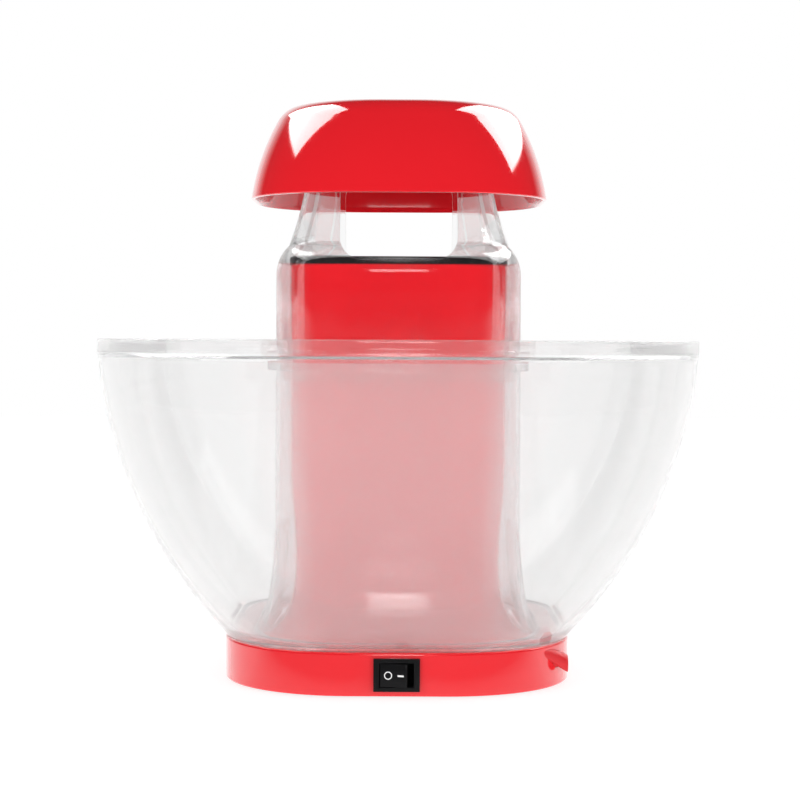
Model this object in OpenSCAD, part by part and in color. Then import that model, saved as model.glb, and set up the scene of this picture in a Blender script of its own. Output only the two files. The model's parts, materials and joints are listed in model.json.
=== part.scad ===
// Hot-air popcorn maker: a red housing with a square-shouldered tower, a clear serving bowl
// that stands round the tower, a clear chute with four windows and a lift-off red cap.
// Millimetres, +Z up, front toward -Y, origin at the centre of the resting plane.

/* [Housing] */
// Width of the base across its flat sides
base_w = 165; // [156:0.2:176]
// Corner radius of the base in plan
base_corner = 60; // [50:1:66]
// Height of the deck that the bowl stands on
deck_z = 21; // [20:0.5:26]
// How far the rubber feet hold the shell off the table
foot_drop = 1.2; // [0.8:0.1:2]
// Wall of the red housing
housing_wall = 2.5; // [2:0.1:3]
// Width of the tower across its flat sides, at the top
tower_w = 104.2; // [102:0.2:110]
// Corner radius of the tower at the top
tower_corner = 28.7; // [26:0.1:32]
// Height of the top edge of the red tower
tower_z = 197.5; // [194:0.5:210]
// How much narrower the waist of the tower is than its top, on each side
waist_inset = 2.6; // [1:0.1:3]
// Height of the waist
waist_z = 57; // [54:1:60]
// Height at which the upper tower reaches its full width
full_z = 102; // [95:1:120]
// How far the foot of the tower spreads past the waist, on each side
flare = 13; // [9:0.5:14]

/* [Chamber ring] */
// Height of the black ring above the tower's edge
ring_h = 3.8; // [2.2:0.1:4]
// How far the ring stands proud of the tower, on each side
ring_proud = 0.2; // [0:0.1:1]
// Depth of the rim that locates the ring inside the tower
ring_spigot = 5; // [3:0.5:8]
// Wall of that rim
ring_spigot_wall = 1.4; // [1:0.1:1.8]

/* [Serving bowl] */
// Width of the bowl at its rim
bowl_w = 281.2; // [260:0.2:300]
// Height of the rim's top edge
bowl_z = 162.4; // [150:0.2:175]
// Corner radius of the bowl at its rim
bowl_corner = 98; // [85:1:110]
// Bulge of the bowl's side past a straight line
bowl_bulge = 12; // [8:0.5:16]
// Wall of the bowl
bowl_wall = 2.2; // [1.8:0.1:3]
// Height of the band at the rim
rim_h = 6.6; // [5:0.2:9]
// Thickness of the band at the rim
rim_wall = 4.4; // [3.4:0.1:6]
// Gap between the tower and the bowl's inner tube, on each side
tube_gap = 5; // [4:0.1:8]
// Wall of the inner tube
tube_wall = 2; // [1.6:0.1:2.6]
// Height of the shoulder where the chute stands on the tube
joint_z = 152.2; // [140:0.2:155]
// Width of the flanges at that shoulder, past the tube
flange_w = 4; // [2:0.2:6]
// Height of the bowl's own flange
flange_h = 4.2; // [2.4:0.1:5]
// Spread of the tube's foot, on each side
tube_flare = 9; // [6:0.5:10]

/* [Chute] */
// Wall of the chute
chute_wall = 2.4; // [2:0.1:3]
// Depth of the chute's rim inside the bowl's tube
chute_spigot = 9; // [6:0.5:14]
// Height of the chute's flange
chute_flange_h = 4.6; // [3:0.1:6]
// Height at which the straight skirt ends
shoulder_z = 196; // [190:0.5:198]
// Width of the neck where it leaves the shoulder
neck_w = 106; // [102:0.5:108]
// Height of that place
neck_z = 207; // [205:0.5:210]
// Width of the neck at its open top
neck_top_w = 88; // [84:0.5:92]
// Height of the neck's top edge
chute_z = 258; // [250:0.5:262]
// Width of each window
window_w = 55; // [46:0.5:58]
// Radius of the windows' corners
window_r = 11; // [6:0.5:14]
// How far the windows' lower edge lies under the ring's top
window_drop = 1.8; // [0:0.1:2.4]
// Height of the band left above the windows
neck_band = 12; // [8:0.5:16]

/* [Cap] */
// Width of the cap at its open rim
cap_w = 142.2; // [136:0.2:150]
// Half the length of the straight part of each side of the cap's rim
cap_flat = 17; // [16:0.5:26]
// How far the cap's rim hangs below the neck's top edge
cap_drop = 28.4; // [24:0.2:32]
// How far the cap's top rises above the neck's top edge
cap_rise = 17; // [15:0.5:22]
// Wall of the cap
cap_wall = 2; // [1.6:0.1:2.6]
// How much narrower the cap is at its shoulder, on each side
cap_lean = 11.5; // [8:0.1:13]
// Height of the rounded shoulder
cap_round = 8; // [5:0.5:9]
// Depth of the collar inside the neck
collar_depth = 7; // [4:0.5:10]

/* [Popping chamber] */
// Inner diameter of the chamber
chamber_d = 84; // [78:0.5:86]
// Depth of the chamber
chamber_depth = 78; // [70:0.5:80]
// Sheet thickness of the chamber
chamber_t = 0.8; // [0.6:0.1:1]
// Number of slanted air slots round the foot of the chamber
louvres = 20; // [12:1:22]
// Width of each slot
louvre_w = 2.2; // [1.6:0.1:3]
// Length of each slot
louvre_l = 13; // [8:0.5:16]
// Slant of the slots
louvre_slant = 32; // [0:1:40]

/* [Heater] */
// Gap between the chamber and the air duct
duct_gap = 3.4; // [2.4:0.1:3.6]
// Sheet thickness of the duct
duct_t = 0.6; // [0.5:0.1:0.8]
// Height of the duct's lower edge
duct_z = 78; // [76:0.5:80]
// Radius of the coil's turns
coil_r = 34; // [28:0.5:37]
// Thickness of the wound element
element_d = 3.2; // [2.4:0.1:4]
// Rise of one turn
coil_pitch = 6.4; // [5:0.1:7]
// Turns of the coil
coil_turns = 3.5; // [2:0.5:4]
// Thickness of the mica cards
mica_t = 0.6; // [0.4:0.1:1]
// Height of the mica cards
mica_h = 32; // [28:0.5:35]

/* [Blower] */
// Diameter of the fan
fan_d = 74; // [64:1:80]
// Height of the blades
blade_h = 14; // [10:0.5:16]
// Number of blades
blades = 24; // [12:1:28]
// Sweep of each blade about the shaft
blade_sweep = 20; // [5:1:30]
// Wall of the blower housing
blower_wall = 2.2; // [1.8:0.1:2.4]
// Diameter of the motor
motor_d = 35.8; // [28:0.2:38]
// Length of the motor's can
motor_l = 36; // [30:0.5:38]
// Diameter of the motor shaft
shaft_d = 3.17; // [2:0.01:4]

/* [Bottom] */
// Thickness of the bottom cover
cover_t = 2.5; // [2:0.1:3]
// Number of air slots in the bottom cover
intake_slots = 24; // [12:1:28]
// Width of each air slot
intake_w = 3; // [2:0.1:3.5]
// Diameter of the rubber feet
foot_d = 12; // [10:0.5:14]
// Depth of the recess that holds each foot
foot_recess = 1.2; // [1:0.1:1.5]
// Diameter of the screws' shanks
screw_d = 3; // [2.5:0.1:3.5]
// Depth that the screws reach into their bosses and posts
screw_bite = 7; // [5:0.5:8]

/* [Switch] */
// Width of the switch's bezel
bezel_w = 21; // [20.6:0.1:23]
// Height of the bezel
bezel_h = 15; // [14.6:0.1:15.8]
// Thickness of the bezel
bezel_t = 1.8; // [1.2:0.1:2.4]
// Full travel of the rocker, in degrees
rocker_throw = 24; // [16:1:26]
// Width of the rocker
rocker_w = 12.4; // [11:0.1:12.8]
// Depth of the switch's body behind the wall
switch_depth = 15; // [14:0.5:18]

/* [Cord outlet] */
// Bore of the outlet
outlet_bore_d = 6.6; // [5:0.1:7.2]
// Diameter of the outlet's outer end
outlet_tip_d = 8.6; // [8.4:0.1:9]
// How far the outlet stands out of the wall
outlet_out = 5; // [4:0.1:7]
// Distance of the outlet behind the front face
outlet_back = 31; // [29:0.5:34]
// Angle at which the outlet points down
outlet_slope = 6; // [0:1:8]

/* [Fits] */
// Gap between lift-off pieces where they seat
seat_gap = 0.3; // [0.2:0.05:0.4]
// Gap on each side of a piece that slides into another
slide_gap = 0.3; // [0.2:0.05:0.5]
// Gap round pins and shafts that turn
pin_gap = 0.05; // [0.02:0.01:0.1]
// Gap round screws and fixed inserts
fit_gap = 0.1; // [0.05:0.01:0.15]
// Facets in each rounded corner
corner_steps = 8; // [6:1:9]

/* [Hidden] */
$fn = 64;

red = "#e2202c";
black = "#161616";
clear = [0.9, 0.93, 0.95, 0.45];
steel = "#b9bcc0";
brass = "#c9a24a";
mica = "#b59a6a";

// Housing
base_half = base_w / 2;
tower_half = tower_w / 2;
waist_half = tower_half - waist_inset;
foot_half = waist_half + flare;
edge_r = 1.2;
deck_under = deck_z - housing_wall;
cover_z = foot_drop;
cover_top = cover_z + cover_t;

// Everything at the top of the tower
ring_top = tower_z + ring_h;
waist_corner = tower_corner - waist_inset * (base_corner - tower_corner) / (base_half - tower_half);
waist_reach = (waist_half - waist_corner) * sqrt(2) + waist_corner;
ear_d = 8;
ear_r = waist_reach - housing_wall - ear_d / 2 - 0.6;
ring_hole_r = chamber_d / 2;

// Popping chamber and duct
chamber_r = chamber_d / 2;
chamber_floor = tower_z - chamber_depth;
duct_r = chamber_r + chamber_t + duct_gap;
liner_t = 0.5;
liner_gap = 0.2;
card_half = duct_r - liner_t - 2 * liner_gap;

// Blower and motor
lip_h = 4;
blower_r = duct_r + duct_t - 0.4;
blower_floor = 54;
motor_z = blower_floor - motor_l;
plate_top = blower_floor + blower_wall;
fan_r = fan_d / 2;
blade_z = plate_top + 2.8;
fan_top = blade_z + blade_h;
post_z = 60;
ear_t = 3;
motor_boss_r = 6.4;
motor_screw_at = 12.5;
motor_screw_d = 2.5;
endcap_h = 4;
board_t = 1.6;
board_r = motor_d / 2 - 3;
board_z = motor_z - endcap_h - board_t;
hub_r = 5;
blade_in = 0.58 * fan_r;

// Heater cards, coil and the two sensors on the duct
card_z = duct_z + lip_h;
coil_z = card_z + (mica_h - coil_pitch * coil_turns) / 2;
sensor_z = card_z + 8;
sensor_leg = 4;
lead_d = 2.2;
lead_gap = 0.9;

// Serving bowl
bowl_half = bowl_w / 2;
bowl_foot = deck_z + seat_gap;
tube_in = tower_half + tube_gap;
tube_out = tube_in + tube_wall;
flange_half = tube_out + flange_w;

// Chute
spigot_half = tube_in - slide_gap;
skirt_half = tube_out - 0.5;
flange_z = joint_z + seat_gap;
skirt_z = flange_z + chute_flange_h;
neck_half = neck_w / 2;
neck_top_half = neck_top_w / 2;
window_z = ring_top - window_drop;
window_top = chute_z - neck_band;

// Cap
cap_rim_z = chute_z - cap_drop;
cap_z = chute_z + cap_rise;
cap_half = cap_w / 2;
cap_corner = cap_half - cap_flat;
shoulder_half = cap_half - cap_lean;
collar_half = neck_top_half - chute_wall - slide_gap;
collar_wall = 1.8;

// Switch
switch_z = (cover_top + deck_under) / 2;
wall_y = -base_half;
pivot_in = 5.5;
pivot_y = wall_y - bezel_t + pivot_in;
rocker_tip = 6.8;
bezel_open_w = rocker_w + 3.2;
bezel_open_h = bezel_h - 4.1;
body_w = bezel_w - 2;
body_h = bezel_h - 2.1;
rocker_h = bezel_open_h - 0.5;
pin_d = 2.4;
terminal_x = 4.7;

// Cord outlet, through the rounded corner of the base, pointing to the right
outlet_body_d = outlet_tip_d + 2;
outlet_collar_d = outlet_body_d + 3;
outlet_collar_t = 1.5;
base_flat = base_half - base_corner;
outlet_y = outlet_back - base_half;
outlet_x = corner_x(base_corner, outlet_y);
outlet_inside = corner_x(base_corner - housing_wall, outlet_y - outlet_collar_d / 2);
outlet_root = outlet_x - outlet_inside + 2 * slide_gap + outlet_body_d / 2 * sin(outlet_slope);
outlet_tail = outlet_root + outlet_collar_t;
outlet_z = deck_under - 3 * fit_gap - outlet_body_d / 2 * cos(outlet_slope) - outlet_tail * sin(outlet_slope);

// Bottom screws and feet
boss_at = base_half - 28.3;
boss_d = 8.4;
feet_in = [39, 21];
head_recess = 0.5 * screw_d;
intake_r = [17, 31];
intake_l = [9, 12];
stiffener_r = intake_r[1] + intake_l[1] + 4;
stiffener_wall = 1.6;
stiffener_h = 2.5;
foot_at = [base_half - feet_in[0], base_half - feet_in[1]];

// ---------- shapes shared by the pieces ----------

// A section is [half width, corner radius, height]; its ring runs anticlockwise.
function ring(s) = [
    for (q = [0:3]) for (i = [0:corner_steps])
        let (a = 90 * (q + i / corner_steps), c = s[0] - s[1])
        [c * sign(cos(90 * q + 45)) + s[1] * cos(a), c * sign(sin(90 * q + 45)) + s[1] * sin(a), s[2]]
];

// A quadratic curve from a to c that heads for b
function curve(a, b, c, steps) = [
    for (i = [0:steps]) let (t = i / steps) (1 - t) * (1 - t) * a + 2 * t * (1 - t) * b + t * t * c
];

// A circular arc from a to b that bulges to the right of the way from a to b
function arc(a, b, bulge, steps) =
    let (mid = (a + b) / 2, way = b - a, len = norm(way), side = [way[1], -way[0]] / len,
        r = (len * len / 4 + bulge * bulge) / (2 * bulge), half = asin(len / 2 / r))
    [for (i = [0:steps]) let (t = -half + 2 * half * i / steps)
        mid + way / len * r * sin(t) + side * (r * cos(t) - r + bulge)];

// Sections from a profile of [half width, height] points, with a corner radius that follows the half width
function sections(profile, half_a, corner_a, half_b, corner_b) = [
    for (p = profile) [p[0], corner_a + (p[0] - half_a) * (corner_b - corner_a) / (half_b - half_a), p[1]]
];

// Sections with corners a fixed distance inside the half width
function offset_sections(profile, straight) = [for (p = profile) [p[0], p[0] - straight, p[1]]];

// Skin over a stack of sections: closed at both ends, or joined end to start round a hollow
module loft(stack, hollow = false) {
    n = 4 * (corner_steps + 1);
    m = len(stack);
    sides = [
        for (k = [0:(hollow ? m - 1 : m - 2)]) for (i = [0:n - 1])
            let (up = (k + 1) % m, on = (i + 1) % n)
            each [[k * n + i, up * n + i, up * n + on], [k * n + i, up * n + on, k * n + on]]
    ];
    ends = hollow ? [] : [[for (i = [0:n - 1]) i], [for (i = [n - 1:-1:0]) (m - 1) * n + i]];
    polyhedron(points = [for (s = stack) each ring(s)], faces = concat(sides, ends), convexity = 10);
}

// Flat rounded square with true round corners
module rounded_square(half, corner) {
    square([2 * half, 2 * (half - corner)], center = true);
    square([2 * (half - corner), 2 * half], center = true);
    for (x = [-1, 1], y = [-1, 1]) translate([x, y] * (half - corner)) circle(corner);
}

function polar(r, a, z) = [r * cos(a), r * sin(a), z];

function unit(v) = v / norm(v);

function reversed(list) = [for (i = [len(list) - 1:-1:0]) list[i]];

// A six-sided rod along a chain of points; no stretch of it may run along the side vector
module sweep(points, d, side) {
    last = len(points) - 1;
    skin = [
        for (k = [0:last])
            let (way = unit(points[min(k + 1, last)] - points[max(k - 1, 0)]), u = unit(cross(side, way)),
                v = cross(way, u))
            for (a = [0:60:300]) points[k] + d / 2 * (cos(a) * u + sin(a) * v)
    ];
    sides = [
        for (k = [0:last - 1]) for (i = [0:5])
            let (a = 6 * k + i, b = 6 * k + (i + 1) % 6) each [[a, b + 6, b], [a, a + 6, b + 6]]
    ];
    polyhedron(points = skin, faces = concat(sides,
        [[0, 1, 2, 3, 4, 5], [for (i = [5:-1:0]) 6 * last + i]]), convexity = 8);
}

module at_corners(distance) {
    for (a = [45:90:315]) rotate(a) translate([distance, 0, 0]) children();
}

module at_bosses() {
    for (x = [-1, 1], y = [-1, 1]) translate([x * boss_at, y * boss_at, 0]) children();
}

// Distance from the middle to a rounded corner's wall of the base, for a corner of radius r, at y
function corner_x(r, y) = base_flat + sqrt(r * r - pow(y + base_flat, 2));

// Along the cord outlet's axis, with the outside in +Z and down in +X
module at_outlet() {
    translate([outlet_x, outlet_y, outlet_z]) rotate([0, 90 + outlet_slope, 0]) children();
}

module at_feet() {
    for (x = [-1, 1], y = [-1, 1]) translate([x * foot_at[0], y * foot_at[1], 0]) children();
}

// A pan-head screw that points up, with the underside of its head at z = 0
module screw(length, d = screw_d) {
    cylinder(d = d, h = length);
    difference() {
        translate([0, 0, -0.6 * d]) cylinder(d1 = 1.5 * d, d2 = 2 * d, h = 0.6 * d);
        translate([0, 0, -0.6 * d]) for (a = [0, 90]) rotate(a)
            translate([-0.5 * d, -0.1 * d, 0]) cube([d, 0.2 * d, 0.25 * d]);
    }
}

// ---------- red housing ----------

function tower_profile(inset) = concat(
    curve([foot_half - inset, deck_z + 0.8], [waist_half - inset, deck_z + 8],
        [waist_half - inset, waist_z], 7),
    [[waist_half - inset + 0.25 * waist_inset, waist_z + 0.25 * (full_z - waist_z)],
     [waist_half - inset + 0.7 * waist_inset, waist_z + 0.6 * (full_z - waist_z)],
     [tower_half - inset, full_z],
     [tower_half - inset, tower_z]]
);

function housing_sections(profile, inset) =
    sections(profile, tower_half - inset, tower_corner - inset, base_half - inset, base_corner - inset);

module main_housing() {
    outside = concat(
        [[base_half - 0.4, cover_z], [base_half, cover_z + 0.6], [base_half, deck_z - edge_r]],
        [for (a = [30, 60, 90]) [base_half - edge_r * (1 - cos(a)), deck_z - edge_r * (1 - sin(a))]],
        [[foot_half + 1.6, deck_z]],
        tower_profile(0)
    );
    inside = concat(
        [[base_half - housing_wall, cover_z], [base_half - housing_wall, deck_under - 1],
         [base_half - housing_wall - 1, deck_under], [foot_half - housing_wall + 1.6, deck_under]],
        [for (p = tower_profile(housing_wall)) p + [0,
            p[1] < waist_z ? -housing_wall * (waist_z - p[1]) / (waist_z - deck_z) : 0]]
    );
    color(red) difference() {
        union() {
            loft(concat(housing_sections(outside, 0), reversed(housing_sections(inside, housing_wall))),
                hollow = true);
            // Bosses that the bottom cover is screwed to
            at_bosses() translate([0, 0, cover_top]) cylinder(d = boss_d, h = deck_under - cover_top + 1);
            // Posts in the tower's corners that the blower housing is screwed to
            at_corners(ear_r) translate([0, 0, post_z]) {
                cylinder(d = ear_d, h = 14);
                translate([0, -2, 0]) cube([waist_reach - ear_r - 0.8, 4, 14]);
            }
        }
        at_bosses() translate([0, 0, cover_top]) cylinder(d = screw_d + fit_gap, h = screw_bite + 1);
        at_corners(ear_r) translate([0, 0, post_z]) cylinder(d = screw_d + fit_gap, h = screw_bite + 1);
        translate([0, wall_y, switch_z])
            cube([body_w + 2 * fit_gap, 3 * housing_wall, body_h + 2 * fit_gap], center = true);
        // The square hole keeps the cord's outlet from turning
        at_outlet()
            cube([outlet_body_d + 2 * fit_gap, outlet_body_d + 2 * fit_gap, 2 * outlet_root], center = true);
    }
}

// ---------- black ring round the mouth of the chamber ----------

module chamber_ring() {
    half = tower_half + ring_proud;
    corner = tower_corner + ring_proud;
    rim_half = tower_half - housing_wall - slide_gap;
    rim_corner = tower_corner - housing_wall - slide_gap;
    color(black) difference() {
        union() {
            loft([[half, corner, tower_z], [half, corner, ring_top - 0.8],
                [half - 0.25, corner - 0.25, ring_top - 0.25],
                [half - 0.8, corner - 0.8, ring_top]]);
            translate([0, 0, tower_z - ring_spigot]) linear_extrude(ring_spigot + 0.5) difference() {
                rounded_square(rim_half, rim_corner);
                rounded_square(rim_half - ring_spigot_wall, rim_corner - ring_spigot_wall);
            }
        }
        translate([0, 0, tower_z - 1]) cylinder(r = ring_hole_r, h = ring_h + 2);
        translate([0, 0, ring_top - 1]) cylinder(r1 = ring_hole_r, r2 = ring_hole_r + 1.2, h = 1.2);
        at_corners(ear_r) translate([0, 0, tower_z - 1]) cylinder(d = screw_d + fit_gap, h = ring_h);
    }
}

module ring_screws() {
    color(steel) at_corners(ear_r) translate([0, 0, tower_z - chamber_t - duct_t])
        screw(chamber_t + duct_t + ring_h - 1.2);
}

// Four ears that stand out from a round flange toward the tower's corners
module ears(inner_r, t) {
    difference() {
        intersection() {
            at_corners(ear_r / 2) translate([0, 0, t / 2]) cube([ear_r, ear_d, t], center = true);
            cylinder(r = ear_r, h = t);
        }
        translate([0, 0, -1]) cylinder(r = inner_r, h = t + 2);
    }
    at_corners(ear_r) cylinder(d = ear_d, h = t);
}

// ---------- popping chamber: a drawn cup with slanted air slots round its foot ----------

module popping_chamber() {
    out_r = chamber_r + chamber_t;
    flange_r = duct_r + duct_t + 0.6;
    flange_z0 = tower_z - chamber_t;
    foot_round = 6;
    color("#c9ccd0") difference() {
        union() {
            translate([0, 0, chamber_floor + foot_round]) difference() {
                cylinder(r = out_r, h = chamber_depth - foot_round);
                translate([0, 0, -1]) cylinder(r = chamber_r, h = chamber_depth + 2);
            }
            // Rounded foot and gently domed floor
            translate([0, 0, chamber_floor]) rotate_extrude() difference() {
                union() {
                    translate([out_r - foot_round, foot_round]) circle(foot_round);
                    square([out_r - foot_round, foot_round]);
                }
                translate([out_r - foot_round, foot_round]) circle(foot_round - chamber_t);
                translate([0, chamber_t]) square([out_r - foot_round, foot_round]);
                translate([-1, foot_round]) square([out_r + 2, 2 * foot_round]);
                translate([-2 * out_r, -1]) square([2 * out_r, 3 * foot_round]);
            }
            translate([0, 0, flange_z0]) difference() {
                cylinder(r = flange_r, h = chamber_t);
                translate([0, 0, -1]) cylinder(r = chamber_r, h = chamber_t + 2);
            }
            translate([0, 0, flange_z0]) ears(chamber_r, chamber_t);
        }
        for (i = [0:louvres - 1]) rotate(360 * i / louvres)
            translate([chamber_r, 0, chamber_floor + foot_round + louvre_l / 2 + 1])
                rotate([louvre_slant, 0, 0])
                cube([6, louvre_w, louvre_l], center = true);
        at_corners(ear_r) translate([0, 0, flange_z0 - 1]) cylinder(d = screw_d + fit_gap, h = chamber_t + 2);
    }
}

// ---------- heater ----------

module air_duct() {
    flange_z0 = tower_z - chamber_t - duct_t;
    color(steel) difference() {
        union() {
            translate([0, 0, duct_z]) cylinder(r = duct_r + duct_t, h = flange_z0 - duct_z + duct_t);
            translate([0, 0, flange_z0]) ears(duct_r, duct_t);
        }
        translate([0, 0, duct_z - 1]) cylinder(r = duct_r, h = tower_z);
        at_corners(ear_r) translate([0, 0, flange_z0 - 1]) cylinder(d = screw_d + fit_gap, h = duct_t + 2);
    }
}

module mica_liner() {
    color(mica) translate([0, 0, card_z]) difference() {
        cylinder(r = duct_r - liner_gap, h = mica_h);
        translate([0, 0, -1]) cylinder(r = duct_r - liner_gap - liner_t, h = mica_h + 2);
    }
}

// Height of the coil's axis after a number of degrees
function coil_height(angle) = coil_z + coil_pitch * angle / 360;

// One mica card in the XZ plane, with holes where the coil passes at the given angles
module mica_card(first_angle) {
    difference() {
        translate([-card_half, -mica_t / 2, card_z]) cube([2 * card_half, mica_t, mica_h]);
        for (k = [0:2 * coil_turns]) let (a = first_angle + 180 * k) if (a <= 360 * coil_turns)
            translate([(k % 2 == 0 ? 1 : -1) * coil_r, 0, coil_height(a)]) rotate([90, 0, 0])
                cylinder(d = element_d + 1, h = 4, center = true);
    }
}

module mica_card_lower() {
    color(mica) difference() {
        mica_card(0);
        translate([-mica_t / 2 - fit_gap, -2, card_z + mica_h / 2]) cube([mica_t + 2 * fit_gap, 4, mica_h]);
    }
}

module mica_card_upper() {
    color(mica) rotate(90) difference() {
        mica_card(90);
        translate([-mica_t / 2 - fit_gap, -2, card_z - mica_h / 2]) cube([mica_t + 2 * fit_gap, 4, mica_h]);
    }
}

// The element is wound so finely that it reads as one rod, bent into a helix through the cards
module heating_coil() {
    per_turn = 20;
    color("#8d8f94") sweep([for (k = [0:per_turn * coil_turns]) let (a = 360 * k / per_turn)
        polar(coil_r, a, coil_height(a))],
        element_d, [0, 0, 1]);
}

// Strapped to the outside of the duct in one corner of the tower
module thermostat() {
    color("#3a3a3c") rotate(225) translate([duct_r + duct_t + slide_gap, 0, sensor_z]) {
        translate([0, -3.6, 0]) cube([3.6, 7.2, 16]);
        translate([0, -2, 16]) cube([1, 4, 4]);
        translate([0, -2, -sensor_leg]) cube([1, 4, sensor_leg]);
    }
}

module thermal_fuse() {
    color(brass) rotate(135) translate([duct_r + duct_t + slide_gap + 2, 0, sensor_z]) {
        cylinder(d = 4, h = 11);
        translate([0, 0, -sensor_leg]) cylinder(d = 1, h = 11 + 2 * sensor_leg);
    }
}

// ---------- blower ----------

// Windows in the blower's floor, round the motor
module eye_windows() {
    difference() {
        circle(motor_d / 2 + 10);
        circle(motor_d / 2 + 1.6);
        for (a = [0, 90]) rotate(a) square([4 * motor_d, 7], center = true);
    }
}

module blower_housing() {
    color("#2b2b2d") difference() {
        union() {
            translate([0, 0, blower_floor]) linear_extrude(blower_wall) difference() {
                circle(blower_r);
                eye_windows();
                circle(motor_boss_r + fit_gap);
            }
            translate([0, 0, blower_floor]) difference() {
                cylinder(r = blower_r, h = duct_z - blower_floor);
                translate([0, 0, -1]) cylinder(r = blower_r - blower_wall, h = duct_z);
            }
            // Lip that the duct drops over and the mica stands on
            translate([0, 0, duct_z - 1]) difference() {
                cylinder(r = duct_r - slide_gap, h = lip_h + 1);
                translate([0, 0, -1]) cylinder(r = blower_r - blower_wall, h = lip_h + 3);
            }
            translate([0, 0, post_z - ear_t]) ears(blower_r - 1, ear_t);
        }
        for (x = [-1, 1]) translate([x * motor_screw_at, 0, blower_floor - 1])
            cylinder(d = motor_screw_d + fit_gap, h = 5);
        at_corners(ear_r) translate([0, 0, post_z - 4]) cylinder(d = screw_d + fit_gap, h = 5);
    }
}

module blower_screws() {
    color(steel) at_corners(ear_r) translate([0, 0, post_z - ear_t]) screw(ear_t + screw_bite);
}

module motor_can() {
    color(steel) difference() {
        union() {
            translate([0, 0, motor_z]) rotate_extrude() difference() {
                square([motor_d / 2, motor_l]);
                translate([motor_d / 2, 0]) rotate(45) square(1.4, center = true);
                translate([motor_d / 2, motor_l]) rotate(45) square(1.4, center = true);
            }
            translate([0, 0, blower_floor]) cylinder(r = motor_boss_r, h = blower_wall);
        }
        translate([0, 0, motor_z + 2]) cylinder(r = shaft_d / 2 + pin_gap, h = motor_l + blower_wall);
        for (x = [-1, 1]) translate([x * motor_screw_at, 0, blower_floor - 5])
            cylinder(d = motor_screw_d + fit_gap, h = 6);
    }
}

module motor_endcap() {
    color(black) translate([0, 0, motor_z - endcap_h]) difference() {
        cylinder(r = motor_d / 2 - 0.5, h = endcap_h);
        for (a = [0, 180]) rotate(a) translate([motor_d / 2 - 5, -2.5, -1]) cube([4, 5, 3]);
    }
}

module motor_screws() {
    color(steel) for (x = [-1, 1]) translate([x * motor_screw_at, 0, plate_top]) mirror([0, 0, 1])
        screw(blower_wall + 4, motor_screw_d);
}

module rectifier_board() {
    color("#2f6b3c") translate([0, 0, board_z]) linear_extrude(board_t) difference() {
        circle(board_r);
        circle(2.2);
        translate([0, board_r + 2]) square([12, 8], center = true);
    }
}

module rectifier_diodes() {
    color(black) for (x = [-1, 1], y = [-1, 1]) translate([x * 4, y * 7, board_z - 1.4]) rotate([0, 90, 0])
        cylinder(d = 2.8, h = 5.2, center = true);
}

module motor_shaft() {
    color(steel) translate([0, 0, motor_z + 2.2]) cylinder(d = shaft_d, h = fan_top + 2.4 - motor_z - 2.2);
}

// One blade, swept back about the shaft
function blade_edge(side) = [
    for (i = [0:5]) let (t = i / 5, r = fan_r - 0.5 - (fan_r - blade_in) * (1 - t), a = blade_sweep * t * t)
        [r * cos(a) - side * 0.6 * sin(a + 25 * t), r * sin(a) + side * 0.6 * cos(a + 25 * t)]
];

module fan_impeller() {
    color("#d8d8d4") difference() {
        union() {
            translate([0, 0, fan_top - 0.4]) cylinder(r = fan_r, h = 1.6);
            translate([0, 0, blade_z]) linear_extrude(blade_h) for (i = [0:blades - 1]) rotate(360 * i / blades)
                polygon(concat(blade_edge(1), reversed(blade_edge(-1))));
            translate([0, 0, blade_z + 3]) cylinder(r = hub_r, h = blade_h - 1);
            translate([0, 0, blade_z]) difference() {
                cylinder(r = fan_r, h = 1.4);
                translate([0, 0, -1]) cylinder(r = fan_r - 5, h = 4);
            }
        }
        translate([0, 0, blade_z]) cylinder(r = shaft_d / 2 + 0.01, h = 2 * blade_h);
    }
}

// ---------- bottom ----------

module bottom_cover() {
    half = base_half - housing_wall - slide_gap;
    color("#232325") difference() {
        union() {
            translate([0, 0, cover_z]) linear_extrude(cover_t) difference() {
                rounded_square(half, base_corner - housing_wall - slide_gap);
                for (i = [0:intake_slots - 1]) rotate(360 * i / intake_slots)
                    for (k = [0, 1]) translate([intake_r[k], -intake_w / 2]) square([intake_l[k], intake_w]);
            }
            // Stiffening ring round the air slots
            translate([0, 0, cover_top - 0.5]) difference() {
                cylinder(r = stiffener_r, h = stiffener_h);
                translate([0, 0, -1]) cylinder(r = stiffener_r - stiffener_wall, h = stiffener_h + 2);
            }
        }
        at_bosses() translate([0, 0, cover_z - 1]) cylinder(d = screw_d + 2 * fit_gap, h = 2 * cover_t);
        at_bosses() translate([0, 0, cover_z - 1]) cylinder(d = 2 * screw_d + 0.8, h = 1 + head_recess);
        at_feet() translate([0, 0, cover_z - 1]) cylinder(d = foot_d + 2 * fit_gap, h = 1 + foot_recess);
    }
}

module cover_screws() {
    color(steel) at_bosses() translate([0, 0, cover_z + head_recess]) screw(cover_t - head_recess + screw_bite);
}

module rubber_feet() {
    color("#3a3a3c") at_feet() {
        translate([0, 0, foot_drop / 2]) cylinder(d = foot_d, h = foot_drop / 2 + foot_recess);
        cylinder(d1 = foot_d - foot_drop, d2 = foot_d, h = foot_drop / 2);
    }
}

// ---------- switch ----------

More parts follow.
